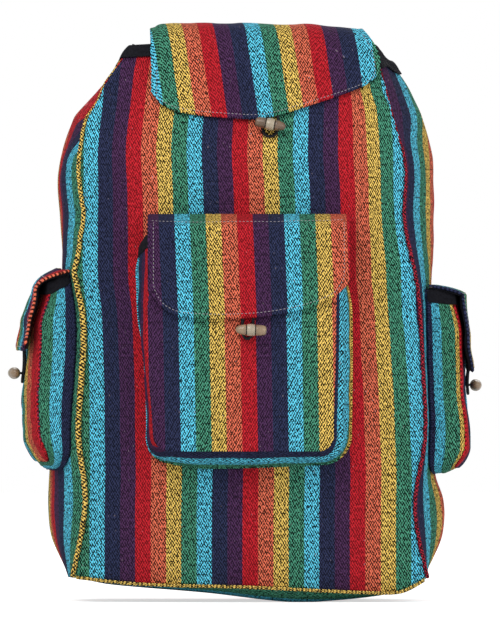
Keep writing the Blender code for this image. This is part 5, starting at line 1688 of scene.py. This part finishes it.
def make_stage():
    scene = bpy.context.scene
    scene.view_settings.view_transform = "Standard"
    lens = bpy.data.cameras.new("camera")
    lens.lens = 36.0 * CAMERA_DISTANCE / FRAME_HEIGHT
    camera = bpy.data.objects.new("camera", lens)
    camera.location = (FRAME_MIDDLE[0], -CAMERA_DISTANCE, FRAME_MIDDLE[1])
    camera.rotation_euler = (pi / 2.0, 0.0, 0.0)
    scene.collection.objects.link(camera)
    scene.camera = camera
    for name, (place, size, power) in LAMPS.items():
        light = bpy.data.lights.new(name, "AREA")
        light.energy = power
        light.size = size
        lamp = bpy.data.objects.new(name, light)
        lamp.location = place
        aim = Vector(LAMPS_AIM) - Vector(place)
        lamp.rotation_euler = aim.to_track_quat("-Z", "Y").to_euler()
        scene.collection.objects.link(lamp)
    world = bpy.data.worlds.new("white_room")
    world.use_nodes = True
    scene.world = world
    tree = world.node_tree
    background = tree.nodes["Background"]
    rays = tree.nodes.new("ShaderNodeLightPath")
    seen = calc(tree, "MAXIMUM", rays.outputs["Is Camera Ray"], rays.outputs["Is Transmission Ray"])
    strength = calc(tree, "MULTIPLY_ADD", seen, 1.0 - ROOM_LIGHT, ROOM_LIGHT)
    background.inputs["Color"].default_value = WHITE
    tree.links.new(strength, background.inputs["Strength"])
    material, tree = new_material("white_floor", Roughness=0.9, Specular_IOR_Level=0.1,
                                  Base_Color=FLOOR_COLOUR, Emission_Color=WHITE)
    rays = tree.nodes.new("ShaderNodeLightPath")
    glow = calc(tree, "MULTIPLY", rays.outputs["Is Camera Ray"], FLOOR_GLOW)
    tree.links.new(glow, tree.nodes["Principled BSDF"].inputs["Emission Strength"])
    turns = steps(0.0, 2.0 * pi, FLOOR_CORNERS)[:-1]
    ring = [(FLOOR_RADIUS * cos(turn), FLOOR_RADIUS * sin(turn), -FLOOR_DROP) for turn in turns]
    floor = add_mesh("floor", ring, [tuple(range(FLOOR_CORNERS))], None, material)


def length(name, description, value):
    return bpy.props.FloatProperty(
        name=name, description=description, default=value, precision=5, unit="LENGTH")


class BackpackSizes(bpy.types.PropertyGroup):
    stripe_width: length("Stripe width", "Width of one woven stripe", 0.012)
    thread_pitch: length("Thread pitch", "From one warp thread to the next", 0.0010)
    pick_pitch: length("Pick pitch", "From one weft thread to the next", 0.0017)
    weft_shown: bpy.props.FloatProperty(
        name="Weft shown", description="How much of the dark weft shows between the warp threads",
        default=0.54, min=0.0, max=1.0, subtype="FACTOR")
    fold_depth: length("Fold depth", "How deep the soft folds of the front are", 0.0010)
    stitch_length: length("Stitch length", "Length of one stitch that shows", 0.0019)
    stitch_pitch: length("Stitch pitch", "From one stitch to the next", 0.0030)


def colour(name, description, value):
    return bpy.props.FloatVectorProperty(
        name=name, description=description, default=value, size=3, min=0.0, max=1.0, subtype="COLOR")


class BackpackColours(bpy.types.PropertyGroup):
    red: colour("Red", "Warp of the red stripe", (0.62, 0.020, 0.032))
    orange: colour("Orange", "Warp of the orange stripe", (0.90, 0.190, 0.105))
    yellow: colour("Yellow", "Warp of the yellow stripe", (0.98, 0.66, 0.15))
    green: colour("Green", "Warp of the green stripe", (0.080, 0.34, 0.215))
    cyan: colour("Cyan", "Warp of the cyan stripe", (0.14, 0.74, 1.0))
    navy: colour("Navy", "Warp of the navy stripe", (0.032, 0.040, 0.100))
    purple: colour("Purple", "Warp of the purple stripe", (0.085, 0.032, 0.100))
    black: colour("Black", "Lining, bindings and cords", (0.012, 0.012, 0.017))
    thread: colour("Thread", "The stitches", (0.60, 0.55, 0.58))
    wood: colour("Wood", "The top toggle", (0.20, 0.125, 0.078))
    bone: colour("Pale wood", "The pockets' toggles", (0.36, 0.245, 0.15))
    bead: colour("Bead", "The ring round each toggle's middle", (0.46, 0.38, 0.27))


class BACKPACK_PT_main(bpy.types.Panel):
    """The backpack's sizes, colours and pieces"""

    bl_label = "Backpack"
    bl_idname = "BACKPACK_PT_main"
    bl_space_type = "VIEW_3D"
    bl_region_type = "UI"
    bl_category = "Backpack"

    def draw(self, context):
        for group in (context.scene.backpack_sizes, context.scene.backpack_colours):
            column = self.layout.column()
            for name in group.__annotations__:
                column.prop(group, name)
        for operator in OPERATORS:
            self.layout.operator(operator.bl_idname)


OPERATORS = (BACKPACK_OT_stage, BACKPACK_OT_materials, BACKPACK_OT_body, BACKPACK_OT_top_flap,
             BACKPACK_OT_pockets, BACKPACK_OT_toggles, BACKPACK_OT_straps)
CLASSES = (BackpackSizes, BackpackColours, *OPERATORS, BACKPACK_PT_main)


def register():
    for cls in CLASSES:
        bpy.utils.register_class(cls)
    bpy.types.Scene.backpack_sizes = bpy.props.PointerProperty(type=BackpackSizes)
    bpy.types.Scene.backpack_colours = bpy.props.PointerProperty(type=BackpackColours)


def unregister():
    del bpy.types.Scene.backpack_colours
    del bpy.types.Scene.backpack_sizes
    for cls in reversed(CLASSES):
        bpy.utils.unregister_class(cls)


def main():
    register()
    bpy.ops.backpack.stage()
    bpy.ops.backpack.materials()
    bpy.ops.backpack.body()
    bpy.ops.backpack.top_flap()
    bpy.ops.backpack.pockets()
    bpy.ops.backpack.toggles()
    bpy.ops.backpack.straps()


if __name__ == "__main__":
    main()
